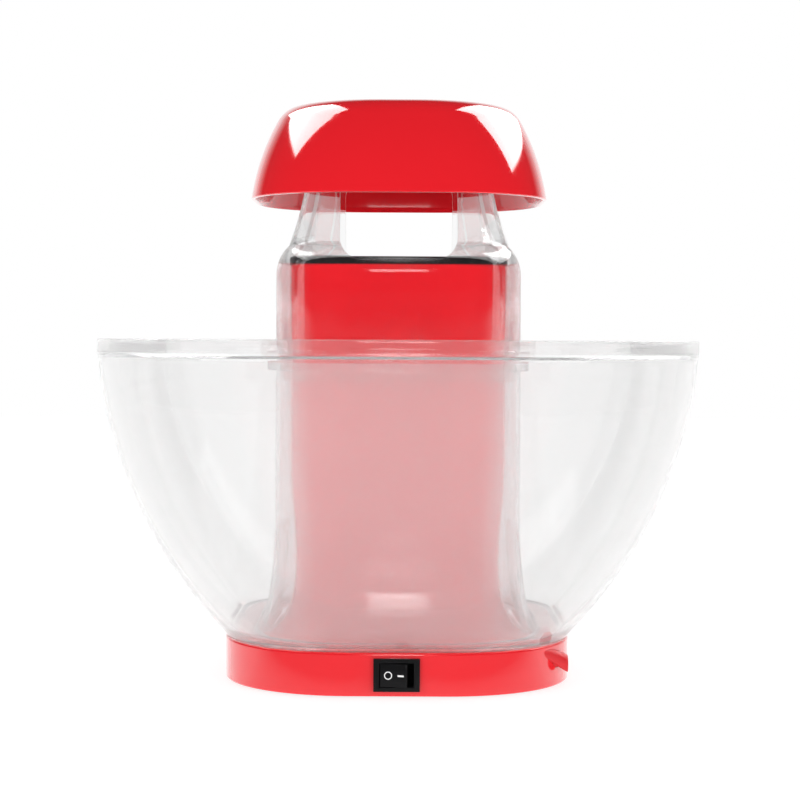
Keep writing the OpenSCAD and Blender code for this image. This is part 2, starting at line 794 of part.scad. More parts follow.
module switch_body() {
    cavity_back = pivot_y + pivot_in;
    color(black) difference() {
        union() {
            translate([-bezel_w / 2, wall_y - bezel_t, switch_z - bezel_h / 2])
                cube([bezel_w, bezel_t, bezel_h]);
            translate([-body_w / 2, wall_y - 0.5, switch_z - body_h / 2])
                cube([body_w, switch_depth + 0.5, body_h]);
        }
        translate([-bezel_open_w / 2, wall_y - bezel_t - 1, switch_z - bezel_open_h / 2])
            cube([bezel_open_w, cavity_back - wall_y + bezel_t + 1, bezel_open_h]);
        // Bearing holes of the rocker
        translate([0, pivot_y, switch_z - body_h / 2 - 1]) cylinder(d = pin_d + 2 * pin_gap, h = body_h + 2);
    }
}

module switch_rocker() {
    half = rocker_w / 2;
    color(black) translate([0, pivot_y, switch_z]) rotate(-rocker_throw / 2) {
        translate([0, 0, -rocker_h / 2]) linear_extrude(rocker_h) {
            polygon([[-half, -rocker_tip], [-half + 0.5, -rocker_tip - 0.1], [0, -rocker_tip + 0.8],
                [half - 0.5, -rocker_tip - 0.1], [half, -rocker_tip], [half, -rocker_tip + 2],
                [2.6, 1], [1.2, 4], [-1.2, 4], [-2.6, 1], [-half, -rocker_tip + 2]]);
            circle(2.2);
        }
        translate([0, 0, -body_h / 2 + 0.2]) cylinder(d = pin_d, h = body_h - 0.4);
    }
}

module switch_terminals() {
    color(brass) for (x = [-1, 1]) difference() {
        translate([x * terminal_x - 0.4, wall_y + switch_depth, switch_z - 2.4]) cube([0.8, 7.5, 4.8]);
        translate([x * terminal_x, wall_y + switch_depth + 5, switch_z]) rotate([0, 90, 0])
            cylinder(d = 1.6, h = 4, center = true);
    }
}

// ---------- cord outlet ----------

module cord_outlet() {
    flange_t = 1.2;
    flange_r = base_corner + slide_gap;
    flange_w = outlet_body_d + 2.4;
    shank = outlet_root + outlet_collar_t / 2;
    color(red) difference() {
        union() {
            // Square shank through the wall, cut off along the flange's face
            intersection() {
                at_outlet() translate([-outlet_body_d / 2, -outlet_body_d / 2, -shank])
                    cube([outlet_body_d, outlet_body_d, shank + outlet_out]);
                translate([base_flat, -base_flat, 0]) cylinder(r = flange_r + flange_t, h = deck_z, $fn = 180);
            }
            // Flange that lies along the rounded wall
            intersection() {
                at_outlet() translate([-flange_w / 2, -flange_w / 2, -shank])
                    cube([flange_w, flange_w, shank + outlet_out]);
                translate([base_flat, -base_flat, 0]) difference() {
                    cylinder(r = flange_r + flange_t, h = deck_z, $fn = 180);
                    translate([0, 0, -1]) cylinder(r = flange_r, h = deck_z + 2, $fn = 180);
                }
            }
            at_outlet() translate([0, 0, -shank])
                cylinder(d1 = outlet_body_d, d2 = outlet_tip_d, h = shank + outlet_out);
            // Collar behind the wall, flattened where it lies under the deck
            at_outlet() intersection() {
                translate([0, 0, -outlet_tail]) cylinder(d = outlet_collar_d, h = outlet_collar_t);
                translate([-outlet_body_d / 2, -outlet_collar_d, -2 * outlet_tail])
                    cube([2 * outlet_collar_d, 2 * outlet_collar_d, 2 * outlet_tail]);
            }
        }
        at_outlet() translate([0, 0, -outlet_tail - 1])
            cylinder(d = outlet_bore_d, h = outlet_tail + outlet_out + 2);
    }
}

// ---------- leads inside the base and tower ----------

module internal_leads() {
    terminal_y = wall_y + switch_depth + 7.5 + lead_d / 2;
    under_board = board_z - lead_d / 2;
    beside_ear = ear_r - 1.8;
    on_duct = duct_r + duct_t + slide_gap + lead_d / 2;
    into_outlet = outlet_tail + 1.2;
    outlet_end = [outlet_x - into_outlet * cos(outlet_slope), outlet_y,
        outlet_z + into_outlet * sin(outlet_slope)];
    lead_turn = [outlet_end[0] - 20, outlet_y + 12];
    lead_z = switch_z + 1;
    side = [0.33, 0.94, 0.05];
    color("#e8e4da") {
        // Switch to the cord outlet
        sweep([[terminal_x, terminal_y, switch_z], [terminal_x + 11, terminal_y + 10, lead_z],
            [lead_turn[0], lead_turn[1], lead_z],
            outlet_end + [-6, 3, 0.5], outlet_end], lead_d, [0, 0, 1]);
        // Switch to the rectifier board
        sweep([[-terminal_x, terminal_y, switch_z], [-9, terminal_y + 14, lead_z - 2],
            [-9, -board_r - 13, lead_z - 2.5],
            [-5, 2 - board_r, under_board]], lead_d, [1, 0, 0.2]);
        // Board to the thermostat and to the thermal fuse, up past the ears of the blower housing
        for (s = [-1, 1])
            sweep([[2 - board_r, s * 5, under_board], polar(30, 180 - s * 25, under_board),
                polar(beside_ear, 180 - s * 31, 32),
                polar(beside_ear, 180 - s * 31, post_z + 16),
                    polar(on_duct + 0.4, 180 - s * 45, sensor_z - sensor_leg - lead_gap)],
                lead_d, side);
    }
}

// ---------- serving bowl ----------

module serving_bowl() {
    straight = tube_in - 0.56 * tube_out;
    foot = [base_half + 0.2, bowl_foot + 1.4];
    brim = [bowl_half - 0.3, bowl_z - rim_h];
    outside = concat(
        [[foot[0] - 1.6, bowl_foot], [foot[0] - 0.4, bowl_foot + 0.4]],
        arc(foot, brim, bowl_bulge, 9),
        [[bowl_half, bowl_z - rim_h + 0.4], [bowl_half, bowl_z - 0.6], [bowl_half - 0.6, bowl_z],
         [bowl_half - rim_wall + 0.6, bowl_z], [bowl_half - rim_wall, bowl_z - 0.6],
         [bowl_half - rim_wall, bowl_z - rim_h]],
        arc(brim + [-bowl_wall, -1.6], foot + [-bowl_wall, 2.6], -bowl_bulge, 8),
        [[foot[0] - bowl_wall - 1.6, bowl_foot + bowl_wall + 0.4],
            [foot[0] - bowl_wall - 4, bowl_foot + bowl_wall]]
    );
    tube = concat(
        [[tube_out + tube_flare + 2.5, bowl_foot + bowl_wall]],
        curve([tube_out + tube_flare, bowl_foot + bowl_wall + 0.6], [tube_out + 1.5, bowl_foot + 10],
            [tube_out, 0.45 * bowl_z], 5),
        [[tube_out, joint_z - flange_h - 0.8], [tube_out + 0.8, joint_z - flange_h],
            [flange_half - 0.5, joint_z - flange_h],
         [flange_half, joint_z - flange_h + 0.5], [flange_half, joint_z - 0.5], [flange_half - 0.5, joint_z],
         [tube_in, joint_z]],
        reversed(curve([tube_in + tube_flare, bowl_foot], [tube_in + 1.5, bowl_foot + 9],
            [tube_in, 0.45 * bowl_z], 5))
    );
    color(clear) loft(concat(
        sections(outside, base_half, base_corner, bowl_half, bowl_corner),
        offset_sections(tube, straight)), hollow = true);
}

// ---------- chute ----------

module chute() {
    straight = tube_in - 0.56 * tube_out;
    neck_straight = neck_top_half * 0.4;
    // Corners stay parallel on the skirt and tighten toward the neck
    function corner_at(half) =
        half - straight + (straight - neck_straight) * (skirt_half - half) / (skirt_half - neck_top_half);
    skin = concat(
        curve([skirt_half, shoulder_z], [skirt_half, shoulder_z + 5], [neck_half, neck_z], 5),
        [for (p = curve([neck_half, neck_z], [neck_top_half + 1, neck_z + 0.45 * (chute_z - neck_z)],
            [neck_top_half, chute_z], 6)) if (p[1] > neck_z) p]
    );
    outside = concat(
        [[spigot_half, joint_z - chute_spigot], [spigot_half, flange_z]],
        [[flange_half - 0.5, flange_z], [flange_half, flange_z + 0.5], [flange_half, skirt_z - 0.5],
            [flange_half - 0.5, skirt_z]],
        [[skirt_half + 0.8, skirt_z], [skirt_half, skirt_z + 0.8]]
    );
    inside = concat(
        [for (p = reversed(skin)) p - [chute_wall, 0]],
        [[skirt_half - chute_wall, skirt_z], [spigot_half - chute_wall, flange_z],
            [spigot_half - chute_wall, joint_z - chute_spigot]]
    );
    color(clear) difference() {
        loft(concat(
            [for (p = outside) [p[0], p[0] - straight, p[1]]],
            [for (p = skin) [p[0], corner_at(p[0]), p[1]]],
            [for (p = inside) [p[0], corner_at(min(p[0] + chute_wall, skirt_half)) - chute_wall, p[1]]]
        ), hollow = true);
        for (a = [0, 90]) rotate(a) rotate([90, 0, 0]) linear_extrude(4 * neck_half, center = true) {
            translate([-window_w / 2 + window_r, window_z])
                square([window_w - 2 * window_r, window_top - window_z]);
            translate([-window_w / 2, window_z + window_r])
                square([window_w, window_top - window_z - 2 * window_r]);
            for (x = [-1, 1], z = [window_z + window_r, window_top - window_r])
                translate([x * (window_w / 2 - window_r), z]) circle(window_r);
        }
    }
}

// ---------- cap ----------

module cap() {
    side = arc([cap_half, cap_rim_z + 0.5], [shoulder_half, cap_z - cap_round - 0.8], 1.6, 5);
    shoulder = curve([shoulder_half, cap_z - cap_round - 0.8], [shoulder_half - 2, cap_z - 0.9],
        [shoulder_half - 9.5, cap_z - 0.7], 5);
    inner_side = [for (p = reversed(side)) p - [cap_wall, 0]];
    inner_shoulder = curve([shoulder_half - 10, cap_z - 0.8 - cap_wall],
        [shoulder_half - 3.6, cap_z - 1 - cap_wall],
        [shoulder_half - cap_wall, cap_z - cap_round - 1.6], 4);
    profile = concat(
        [[0.6 * shoulder_half, cap_z - cap_wall]],
        inner_shoulder,
        [for (i = [1:len(inner_side) - 1]) inner_side[i]],
        [[cap_half - cap_wall + 0.4, cap_rim_z], [cap_half - 0.4, cap_rim_z]],
        side,
        [for (i = [1:len(shoulder) - 1]) shoulder[i]],
        [[0.6 * shoulder_half, cap_z]]
    );
    collar_corner = collar_half - neck_top_half * 0.4;
    color(red) {
        loft(sections(profile, cap_half, cap_corner, shoulder_half, cap_corner - 0.6 * cap_lean));
        // Collar that drops inside the neck, and ribs that stand on the neck's edge
        translate([0, 0, chute_z - collar_depth])
            linear_extrude(cap_z - cap_wall - chute_z + collar_depth + 0.4) difference() {
            rounded_square(collar_half, collar_corner);
            rounded_square(collar_half - collar_wall, collar_corner - collar_wall);
        }
        for (a = [0:90:270]) rotate(a) translate([collar_half - 1, -0.8, chute_z + seat_gap])
            cube([neck_top_half + 2 - collar_half, 1.6, cap_z - cap_wall - chute_z - seat_gap + 0.2]);
    }
}

main_housing();
chamber_ring();
popping_chamber();
air_duct();
mica_liner();
mica_card_lower();
mica_card_upper();
heating_coil();
thermostat();
thermal_fuse();
ring_screws();
blower_housing();
blower_screws();
motor_can();
motor_endcap();
motor_screws();
rectifier_board();
rectifier_diodes();
motor_shaft();
fan_impeller();
bottom_cover();
cover_screws();
rubber_feet();
switch_body();
switch_rocker();
switch_terminals();
cord_outlet();
internal_leads();
serving_bowl();
chute();
cap();
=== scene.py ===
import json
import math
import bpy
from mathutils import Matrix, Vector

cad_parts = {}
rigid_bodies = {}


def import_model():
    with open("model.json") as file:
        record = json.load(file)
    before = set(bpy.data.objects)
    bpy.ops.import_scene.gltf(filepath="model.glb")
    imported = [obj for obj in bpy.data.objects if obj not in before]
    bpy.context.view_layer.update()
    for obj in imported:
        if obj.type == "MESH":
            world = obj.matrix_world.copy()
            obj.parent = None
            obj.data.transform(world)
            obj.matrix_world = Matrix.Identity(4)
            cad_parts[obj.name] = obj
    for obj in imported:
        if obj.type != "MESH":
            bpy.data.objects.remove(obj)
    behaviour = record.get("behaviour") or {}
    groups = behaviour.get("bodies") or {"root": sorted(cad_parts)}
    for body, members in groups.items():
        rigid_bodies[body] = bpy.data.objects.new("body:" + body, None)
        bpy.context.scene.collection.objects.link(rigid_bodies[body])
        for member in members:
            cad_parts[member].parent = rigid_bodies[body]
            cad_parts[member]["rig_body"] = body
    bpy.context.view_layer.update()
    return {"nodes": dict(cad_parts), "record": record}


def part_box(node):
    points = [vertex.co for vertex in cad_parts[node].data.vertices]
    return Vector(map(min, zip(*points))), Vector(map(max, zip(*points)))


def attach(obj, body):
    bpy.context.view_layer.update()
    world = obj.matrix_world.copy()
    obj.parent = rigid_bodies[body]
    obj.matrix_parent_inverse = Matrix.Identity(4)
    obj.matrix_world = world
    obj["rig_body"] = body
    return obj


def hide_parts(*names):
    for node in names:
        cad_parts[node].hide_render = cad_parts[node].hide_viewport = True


bl_info = {
    "name": "Popcorn Maker",
    "version": (1, 0, 0),
    "blender": (4, 5, 0),
    "location": "View3D > Sidebar > Popcorn Maker",
    "description": "Dresses the popcorn maker's frame: housing, bowl, chute, cap, switch and inner parts",
    "category": "Object",
}

from functools import partial, reduce

import bmesh
import bpy
from mathutils import Matrix, Vector

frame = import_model()
BODY_OF = {node: ob["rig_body"] for node, ob in frame["nodes"].items()}

MM = 0.001
TAU = 2 * math.pi
TOUCHING = 1e-6  # points nearer than this are one
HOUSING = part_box("main_housing")
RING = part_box("chamber_ring")
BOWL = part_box("serving_bowl")
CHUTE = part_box("chute")
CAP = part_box("cap")
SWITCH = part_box("switch_body")
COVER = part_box("bottom_cover")
JOINTS = {joint["name"]: joint for joint in frame["record"]["behaviour"]["joints"]}
PIVOT = Vector(JOINTS["rocker_tilt"]["pos_m"])
OUTLET = next(mount for mount in frame["record"]["mounts"] if mount["name"] == "cord_outlet")
SHARP_ABOVE = 34  # degrees; edges that turn more than this stay sharp
SEAT_GAP = 0.3 * MM  # between a piece that is put on or in another and what it meets
NECK_STRAIGHT = 0.4  # share of the neck's half width that is straight
CORNER_FACETS = 20  # in a corner of a red or black moulding
CLEAR_FACETS = 24  # in a corner of a clear one, which shows its facets sooner
SCREW_HOLE_R = 1.55 * MM
SHANK_R = 3.6 * MM  # of the tube behind the cord outlet's hood
SHANK_RISE = 1.9 * MM  # of that tube over the outlet's mouth


# --- what a user would change ---


def setting(kind, name, description, default, **more):
    """A property from 0 to 1, or of numbers from 0 to 1; a length is in metres."""
    return kind(name=name, description=description, default=default, min=0.0, max=1.0, **more)


def length(*words):
    return setting(bpy.props.FloatProperty, *words, unit="LENGTH", precision=4)


def share(*words):
    return setting(bpy.props.FloatProperty, *words, subtype="FACTOR", precision=3)


def colour(*words):
    return setting(bpy.props.FloatVectorProperty, *words, size=3, subtype="COLOR")


class HousingSizes(bpy.types.PropertyGroup):
    base_corner: length("Base corner", "Corner radius of the base in plan", 60 * MM)
    tower_half: length("Tower half width", "Half the width of the tower at its top", RING[1].x - 0.2 * MM)
    tower_corner: length("Tower corner", "Corner radius of the tower at its top", 28.7 * MM)
    waist_inset: length("Waist", "How much narrower the waist is than the top, on each side", 2.6 * MM)
    waist_z: length("Waist height", "Height of the waist", 57 * MM)
    full_z: length("Full width height", "Height at which the tower reaches its full width", 102 * MM)
    flare: length("Flare", "How far the foot of the tower spreads past the waist", 13 * MM)
    deck_z: length("Deck height", "Height of the deck that the bowl stands on", 21 * MM)
    wall: length("Wall", "Wall of the red housing", 2.5 * MM)


class BowlSizes(bpy.types.PropertyGroup):
    corner: length("Rim corner", "Corner radius of the bowl at its rim", 98 * MM)
    bulge: length("Bulge", "How far the side bulges past a straight line", 12 * MM)
    wall: length("Wall", "Wall of the bowl", 2.2 * MM)
    rim_h: length("Rim height", "Height of the band at the rim", 6.6 * MM)
    rim_wall: length("Rim thickness", "Thickness of the band at the rim", 4.4 * MM)
    tube_in: length("Tube", "Half the inner width of the tube round the tower", 57.1 * MM)
    tube_wall: length("Tube wall", "Wall of the tube", 2 * MM)
    tube_flare: length("Tube foot", "Spread of the tube's foot, on each side", 9 * MM)
    joint_z: length("Shoulder height", "Height of the shoulder that the chute stands on", 152.2 * MM)
    flange: length("Flange", "How far the shoulder's flange stands out of the tube", 4 * MM)
    flange_h: length("Flange height", "Height of that flange", 4.2 * MM)


class ChuteSizes(bpy.types.PropertyGroup):
    wall: length("Wall", "Wall of the chute", 2.4 * MM)
    flange_h: length("Flange height", "Height of the chute's flange", 4.6 * MM)
    shoulder_z: length("Skirt height", "Height at which the straight skirt ends", 193 * MM)
    neck_half: length("Neck", "Half the width of the neck where it leaves the shoulder", 53 * MM)
    neck_z: length("Neck height", "Height of that place", 207 * MM)
    neck_top_half: length("Neck top", "Half the width of the neck at its open top", 44 * MM)
    window_w: length("Window width", "Width of each window", 55 * MM)
    window_r: length("Window corner", "Radius of the windows' corners", 11 * MM)
    window_drop: length("Window drop", "How far the windows start under the ring's top", 1.8 * MM)
    neck_band: length("Neck band", "Height of the band above the windows", 12 * MM)


class CapSizes(bpy.types.PropertyGroup):
    flat: length("Straight part", "Half the straight part of each side of the cap's rim", 17 * MM)
    wall: length("Wall", "Wall of the cap", 2 * MM)
    lean: length("Lean", "How much narrower the cap is at its shoulder, on each side", 11.5 * MM)
    round_h: length("Shoulder", "Height of the rounded shoulder", 8 * MM)
    collar_half: length("Collar", "Half the width of the collar inside the neck", 41.3 * MM)
    collar_drop: length("Collar depth", "How far the collar reaches under the neck's top edge", 7 * MM)


class OutletSizes(bpy.types.PropertyGroup):
    reach: length("Reach", "Length of the hood along the base, from where it leaves the wall", 13.5 * MM)
    droop: length("Droop", "How far the hood drops along its length", 7 * MM)
    root_h: length("Root", "Half the height of the hood where it leaves the wall", 1.2 * MM)
    tip_h: length("Tip", "Half the height of the hood's outer end", 4.05 * MM)
    bore: length("Bore", "Radius of the hole for the cord", OUTLET["dims"]["r_mm"] * MM)


class Finishes(bpy.types.PropertyGroup):
    red: colour("Red", "Colour of the housing and the cap", (0.80, 0.0105, 0.0185))
    black: colour("Black", "Colour of the ring and the switch", (0.012, 0.012, 0.013))
    clear: colour("Clear", "Tint of the clear plastic", (0.985, 0.99, 0.99))
    # Clear edge is painted shade: the grey that the clear plastic is drawn with where it is seen edge on
    clear_edge: colour("Clear edge", "Tint of the clear plastic seen edge on", (0.92, 0.925, 0.925))
    haze: share("Haze", "Share of light that the bowl's plastic scatters", 0.095)
    gloss: share("Gloss roughness", "Roughness of the glossy mouldings", 0.09)
    mark: colour("Marks", "Colour of the marks on the rocker", (0.86, 0.86, 0.86))


# --- node trees ---


def add(tree, kind, inputs=(), **settings):
    """Adds a node with those settings and inputs, and returns it."""
    node = tree.nodes.new(kind)
    for name, value in settings.items():
        setattr(node, name, value)
    return plug(tree, node, inputs)


def plug(tree, node, inputs):
    """Sets a node's inputs to values, or links them to other nodes or their outputs."""
    for key, value in dict(inputs).items():
        socket = node.inputs[key]
        if isinstance(value, bpy.types.Node):
            value = value.outputs[0]
        if isinstance(value, bpy.types.NodeSocket):
            tree.links.new(value, socket)
        else:
            socket.default_value = value
    return node


def maths(tree, operation, *values):
    return add(tree, "ShaderNodeMath", dict(enumerate(values)), operation=operation).outputs[0]


def plus(tree, a, b):
    return maths(tree, "ADD", a, b)


def minus(tree, a, b):
    return maths(tree, "SUBTRACT", a, b)


def times(tree, a, b):
    return maths(tree, "MULTIPLY", a, b)


def least(tree, *values):
    return reduce(partial(maths, tree, "MINIMUM"), values)


def most(tree, *values):
    return reduce(partial(maths, tree, "MAXIMUM"), values)


def geometry_tree(name, sockets):
    """A geometry tree with named inputs, and its input node."""
    tree = bpy.data.node_groups.new(name, "GeometryNodeTree")
    for label, kind, default in sockets:
        socket = tree.interface.new_socket(label, in_out="INPUT", socket_type=kind)
        if default is not None:
            socket.default_value = default
    tree.interface.new_socket("Geometry", in_out="OUTPUT", socket_type="NodeSocketGeometry")
    return tree, tree.nodes.new("NodeGroupInput")


def close_tree(tree, given, geometry):
    """Ends a geometry tree: smooth faces with sharp edges kept, real geometry, and its material."""
    shaded = add(tree, "GeometryNodeSetShadeSmooth", {"Geometry": geometry})
    angle = add(tree, "GeometryNodeInputMeshEdgeAngle").outputs[0]
    sharp = maths(tree, "GREATER_THAN", angle, given.outputs["Sharp above"])
    edges = {"Geometry": shaded, "Selection": sharp, "Shade Smooth": False}
    shaded = add(tree, "GeometryNodeSetShadeSmooth", edges, domain="EDGE")
    real = add(tree, "GeometryNodeRealizeInstances", {"Geometry": shaded})
    given_finish = {"Geometry": real, "Material": given.outputs["Finish"]}
    add(tree, "NodeGroupOutput", {"Geometry": add(tree, "GeometryNodeSetMaterial", given_finish)})


def rounded_square_tree():
    """Skins a profile with rounded squares. Its points are (half width, corner radius, height)."""
    tree, given = geometry_tree(
        "Rounded-square skin",
        [
            ("Geometry", "NodeSocketGeometry", None),
            ("Facets in a corner", "NodeSocketInt", CORNER_FACETS),
            ("Joined end to start", "NodeSocketBool", True),
            ("Sharp above", "NodeSocketFloat", math.radians(SHARP_ABOVE)),
            ("Finish", "NodeSocketMaterial", None),
        ],
    )
    outline = given.outputs["Geometry"]
    count = add(tree, "GeometryNodeAttributeDomainSize", {"Geometry": outline}, component="MESH")
    points = count.outputs["Point Count"]
    facets = given.outputs["Facets in a corner"]
    per_corner = plus(tree, facets, 1)
    round_about = times(tree, per_corner, 4)
    rows = plus(tree, points, given.outputs["Joined end to start"])
    columns = plus(tree, round_about, 1)
    grid = add(tree, "GeometryNodeMeshGrid", {"Vertices X": columns, "Vertices Y": rows})

    def times_in(number, divisor):
        """How many whole times the divisor goes into a whole number."""
        return maths(tree, "FLOOR", maths(tree, "DIVIDE", plus(tree, number, 0.5), divisor))

    index = add(tree, "GeometryNodeInputIndex").outputs[0]
    row = maths(tree, "FLOORED_MODULO", index, rows)
    column = maths(tree, "FLOORED_MODULO", times_in(index, rows), round_about)
    quarter = times_in(column, per_corner)
    step = minus(tree, column, times(tree, quarter, per_corner))
    part = maths(tree, "DIVIDE", step, facets)
    angle = times(tree, plus(tree, quarter, part), math.pi / 2)
    middle = times(tree, plus(tree, quarter, 0.5), math.pi / 2)
    place = add(tree, "GeometryNodeInputPosition")
    wanted = {"Geometry": outline, "Value": place, "Index": maths(tree, "FLOORED_MODULO", row, points)}
    here = add(tree, "GeometryNodeSampleIndex", wanted, data_type="FLOAT_VECTOR")
    section = add(tree, "ShaderNodeSeparateXYZ", {0: here})
    straight = minus(tree, section.outputs[0], section.outputs[1])
    across = []
    for turn in ("COSINE", "SINE"):
        side = times(tree, straight, maths(tree, "SIGN", maths(tree, turn, middle)))
        corner = times(tree, section.outputs[1], maths(tree, turn, angle))
        across.append(plus(tree, side, corner))
    where = add(tree, "ShaderNodeCombineXYZ", {0: across[0], 1: across[1], 2: section.outputs[2]})
    placed = add(tree, "GeometryNodeSetPosition", {"Geometry": grid, "Position": where})
    merged = add(tree, "GeometryNodeMergeByDistance", {"Geometry": placed, "Distance": TOUCHING})
    close_tree(tree, given, merged)
    return tree


def in_scene(name, data):
    """A new object of that data, linked to the scene."""
    ob = bpy.data.objects.new(name, data)
    bpy.context.scene.collection.objects.link(ob)
    return ob


def applied(ob, name):
    """The evaluated object as a new plain mesh object that faces outward; the first one is removed."""
    bpy.context.view_layer.update()
    mesh = bpy.data.meshes.new_from_object(ob.evaluated_get(bpy.context.evaluated_depsgraph_get()))
    bpy.data.objects.remove(ob)
    mesh.name = name
    face_outward(mesh)
    return in_scene(name, mesh)


def face_outward(mesh):
    bm = bmesh.new()
    bm.from_mesh(mesh)
    if bm.calc_volume(signed=True) < 0:
        bmesh.ops.reverse_faces(bm, faces=bm.faces)
    bm.to_mesh(mesh)
    bm.free()


def with_tree(mesh, tree, inputs):
    """An object with a geometry tree on it, its inputs set by their names in the tree."""
    ob = in_scene("under_way", mesh)
    modifier = ob.modifiers.new("tree", "NODES")
    modifier.node_group = tree
    for item in tree.interface.items_tree:
        if item.item_type == "SOCKET" and item.in_out == "INPUT" and item.name in inputs:
            modifier[item.identifier] = inputs[item.name]
    return ob


def skin(name, profile, material, joined=True, facets=CORNER_FACETS):
    """A shell of rounded squares from a profile of (half width, corner radius, height) points."""
    mesh = bpy.data.meshes.new(name)
    mesh.from_pydata([Vector(p) for p in profile], [(i, i + 1) for i in range(len(profile) - 1)], [])
    tree = bpy.data.node_groups.get("Rounded-square skin") or rounded_square_tree()
    inputs = {"Facets in a corner": facets, "Joined end to start": joined, "Finish": material}
    return applied(with_tree(mesh, tree, inputs), name)


# --- profiles ---


def bend(a, b, c, steps):
    """A quadratic curve from a to c that heads for b."""
    a, b, c = Vector(a), Vector(b), Vector(c)
    return [(1 - t) ** 2 * a + 2 * t * (1 - t) * b + t * t * c for t in (i / steps for i in range(steps + 1))]


def arc(a, b, bulge, steps):
    """A circular arc from a to b that bulges to the right of the way from a to b."""
    a, b = Vector(a), Vector(b)
    way, middle = b - a, (a + b) / 2
    along = way.normalized()
    side = Vector((along.y, -along.x))
    radius = (way.length_squared / 4 + bulge * bulge) / (2 * bulge)
    half = math.asin(way.length / 2 / radius)
    turns = [-half + 2 * half * i / steps for i in range(steps + 1)]
    return [
        middle + along * radius * math.sin(t) + side * (radius * math.cos(t) - radius + bulge)
        for t in turns
    ]


def rounded(path, steps=4):
    """A path of (x, z) or (x, z, radius) points with its corners rounded to those radii."""
    out = []
    for i, point in enumerate(path):
        here = Vector(point[:2])
        radius = point[2] if len(point) > 2 else 0
        if not radius or i in (0, len(path) - 1):
            out.append(here)
            continue
        back, on = Vector(path[i - 1][:2]) - here, Vector(path[i + 1][:2]) - here
        reach = min(radius, 0.49 * back.length, 0.49 * on.length)
        out += bend(here + back.normalized() * reach, here, here + on.normalized() * reach, steps)
    return out


def near(x, z, *offsets):
    """Points of a path at those offsets from a place, in millimetres."""
    return [Vector((x + right * MM, z + up * MM)) for right, up in offsets]


def with_corners(path, corner_of):
    """The path's points with the corner radius that belongs to each half width."""
    return [(p[0], corner_of(p[0]), p[1]) for p in path]


# --- small solids and joining ---


def new_object(name, bm, material):
    """An object of the shapes in bm, facing outward, with that material."""
    bmesh.ops.recalc_face_normals(bm, faces=bm.faces)
    mesh = bpy.data.meshes.new(name)
    bm.to_mesh(mesh)
    bm.free()
    mesh.materials.append(material)
    return in_scene(name, mesh)


def join_rings(bm, rings):
    """Adds the faces from each ring of points to the next."""
    for ring, following in zip(rings, rings[1:]):
        for i in range(len(ring)):
            j = (i + 1) % len(ring)
            bm.faces.new((ring[i], ring[j], following[j], following[i]))


def prism(bm, outline, lo, hi, place=Matrix.Identity(4)):
    """Adds a prism: an outline of (x, y) points from z = lo to z = hi, then moved by a matrix."""
    rings = [[bm.verts.new(place @ Vector((x, y, z))) for x, y in outline] for z in (lo, hi)]
    bm.faces.new(rings[0])
    bm.faces.new(rings[1])
    join_rings(bm, rings)


def ring_outline(bm, outer, inner, lo, hi, place):
    """Adds a flat ring between two radii, from z = lo to z = hi."""
    section = ((outer, lo), (outer, hi), (inner, hi), (inner, lo))
    rings = [[bm.verts.new(place @ Vector((x, y, z))) for x, y in circle(r)] for r, z in section]
    join_rings(bm, rings + rings[:1])


def circle(radius, steps=48, at=(0, 0)):
    turns = [TAU * i / steps for i in range(steps)]
    return [(at[0] + radius * math.cos(t), at[1] + radius * math.sin(t)) for t in turns]


def rectangle(x0, x1, y0, y1):
    return [(x0, y0), (x1, y0), (x1, y1), (x0, y1)]


def rounded_rectangle(x0, x1, y0, y1, radius, steps):
    out = []
    for cx, cy, first in ((x1, y0, -90), (x1, y1, 0), (x0, y1, 90), (x0, y0, 180)):
        sx, sy = (-1 if cx == x1 else 1), (-1 if cy == y1 else 1)
        for i in range(steps + 1):
            a = math.radians(first + 90 * i / steps)
            out.append((cx + sx * radius + radius * math.cos(a), cy + sy * radius + radius * math.sin(a)))
    return out


def cut(ob, bm, operation="DIFFERENCE"):
    """Cuts the shapes in bm out of ob, or joins them to it, and returns the new object."""
    tool = new_object("tool", bm, ob.data.materials[0])
    modifier = ob.modifiers.new("cut", "BOOLEAN")
    modifier.operation, modifier.object, modifier.solver = operation, tool, "EXACT"
    modifier.use_self = operation == "UNION"
    new = applied(ob, ob.name)
    bpy.data.objects.remove(tool)
    return new


def smooth(ob, angle=SHARP_ABOVE):
    """Smooth faces, with edges sharper than the angle kept sharp."""
    ob.data.shade_smooth()
    ob.data.set_sharp_from_angle(angle=math.radians(angle))
    return ob


def bevelled(ob, width, angle):
    """The object with its edges sharper than the angle rounded off."""
    modifier = ob.modifiers.new("edge", "BEVEL")
    modifier.width, modifier.segments, modifier.angle_limit = width, 2, math.radians(angle)
    modifier.limit_method, modifier.harden_normals = "ANGLE", False
    return smooth(applied(ob, ob.name))


def copy_of(node, name, material):
    """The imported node's mesh as one merged, closed mesh, with its flat faces whole again."""
    bm = bmesh.new()
    bm.from_mesh(frame["nodes"][node].data)
    bmesh.ops.remove_doubles(bm, verts=bm.verts, dist=TOUCHING)
    bmesh.ops.dissolve_limit(bm, angle_limit=math.radians(0.5), verts=bm.verts, edges=bm.edges)
    return new_object(name, bm, material)


def stands_for(ob, node):
    """The piece rides with the node's body, and is shown in its place."""
    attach(ob, BODY_OF[node])
    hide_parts(node)


# --- finishes ---


def new_finish(name):
    """A new material, its node tree and its shader."""
    made = bpy.data.materials.new(name)
    made.use_nodes = True
    shader = made.node_tree.nodes["Principled BSDF"]
    return made, made.node_tree, shader


def noise(tree, scale, detail, stretch=(1, 1, 1)):
    """Noise on the object's own coordinates, from 0 to 1."""
    place = add(tree, "ShaderNodeTexCoord").outputs["Object"]
    if stretch != (1, 1, 1):
        place = add(tree, "ShaderNodeMapping", {"Vector": place, "Scale": stretch}).outputs[0]
    return add(tree, "ShaderNodeTexNoise", {"Vector": place, "Scale": scale, "Detail": detail}).outputs["Fac"]


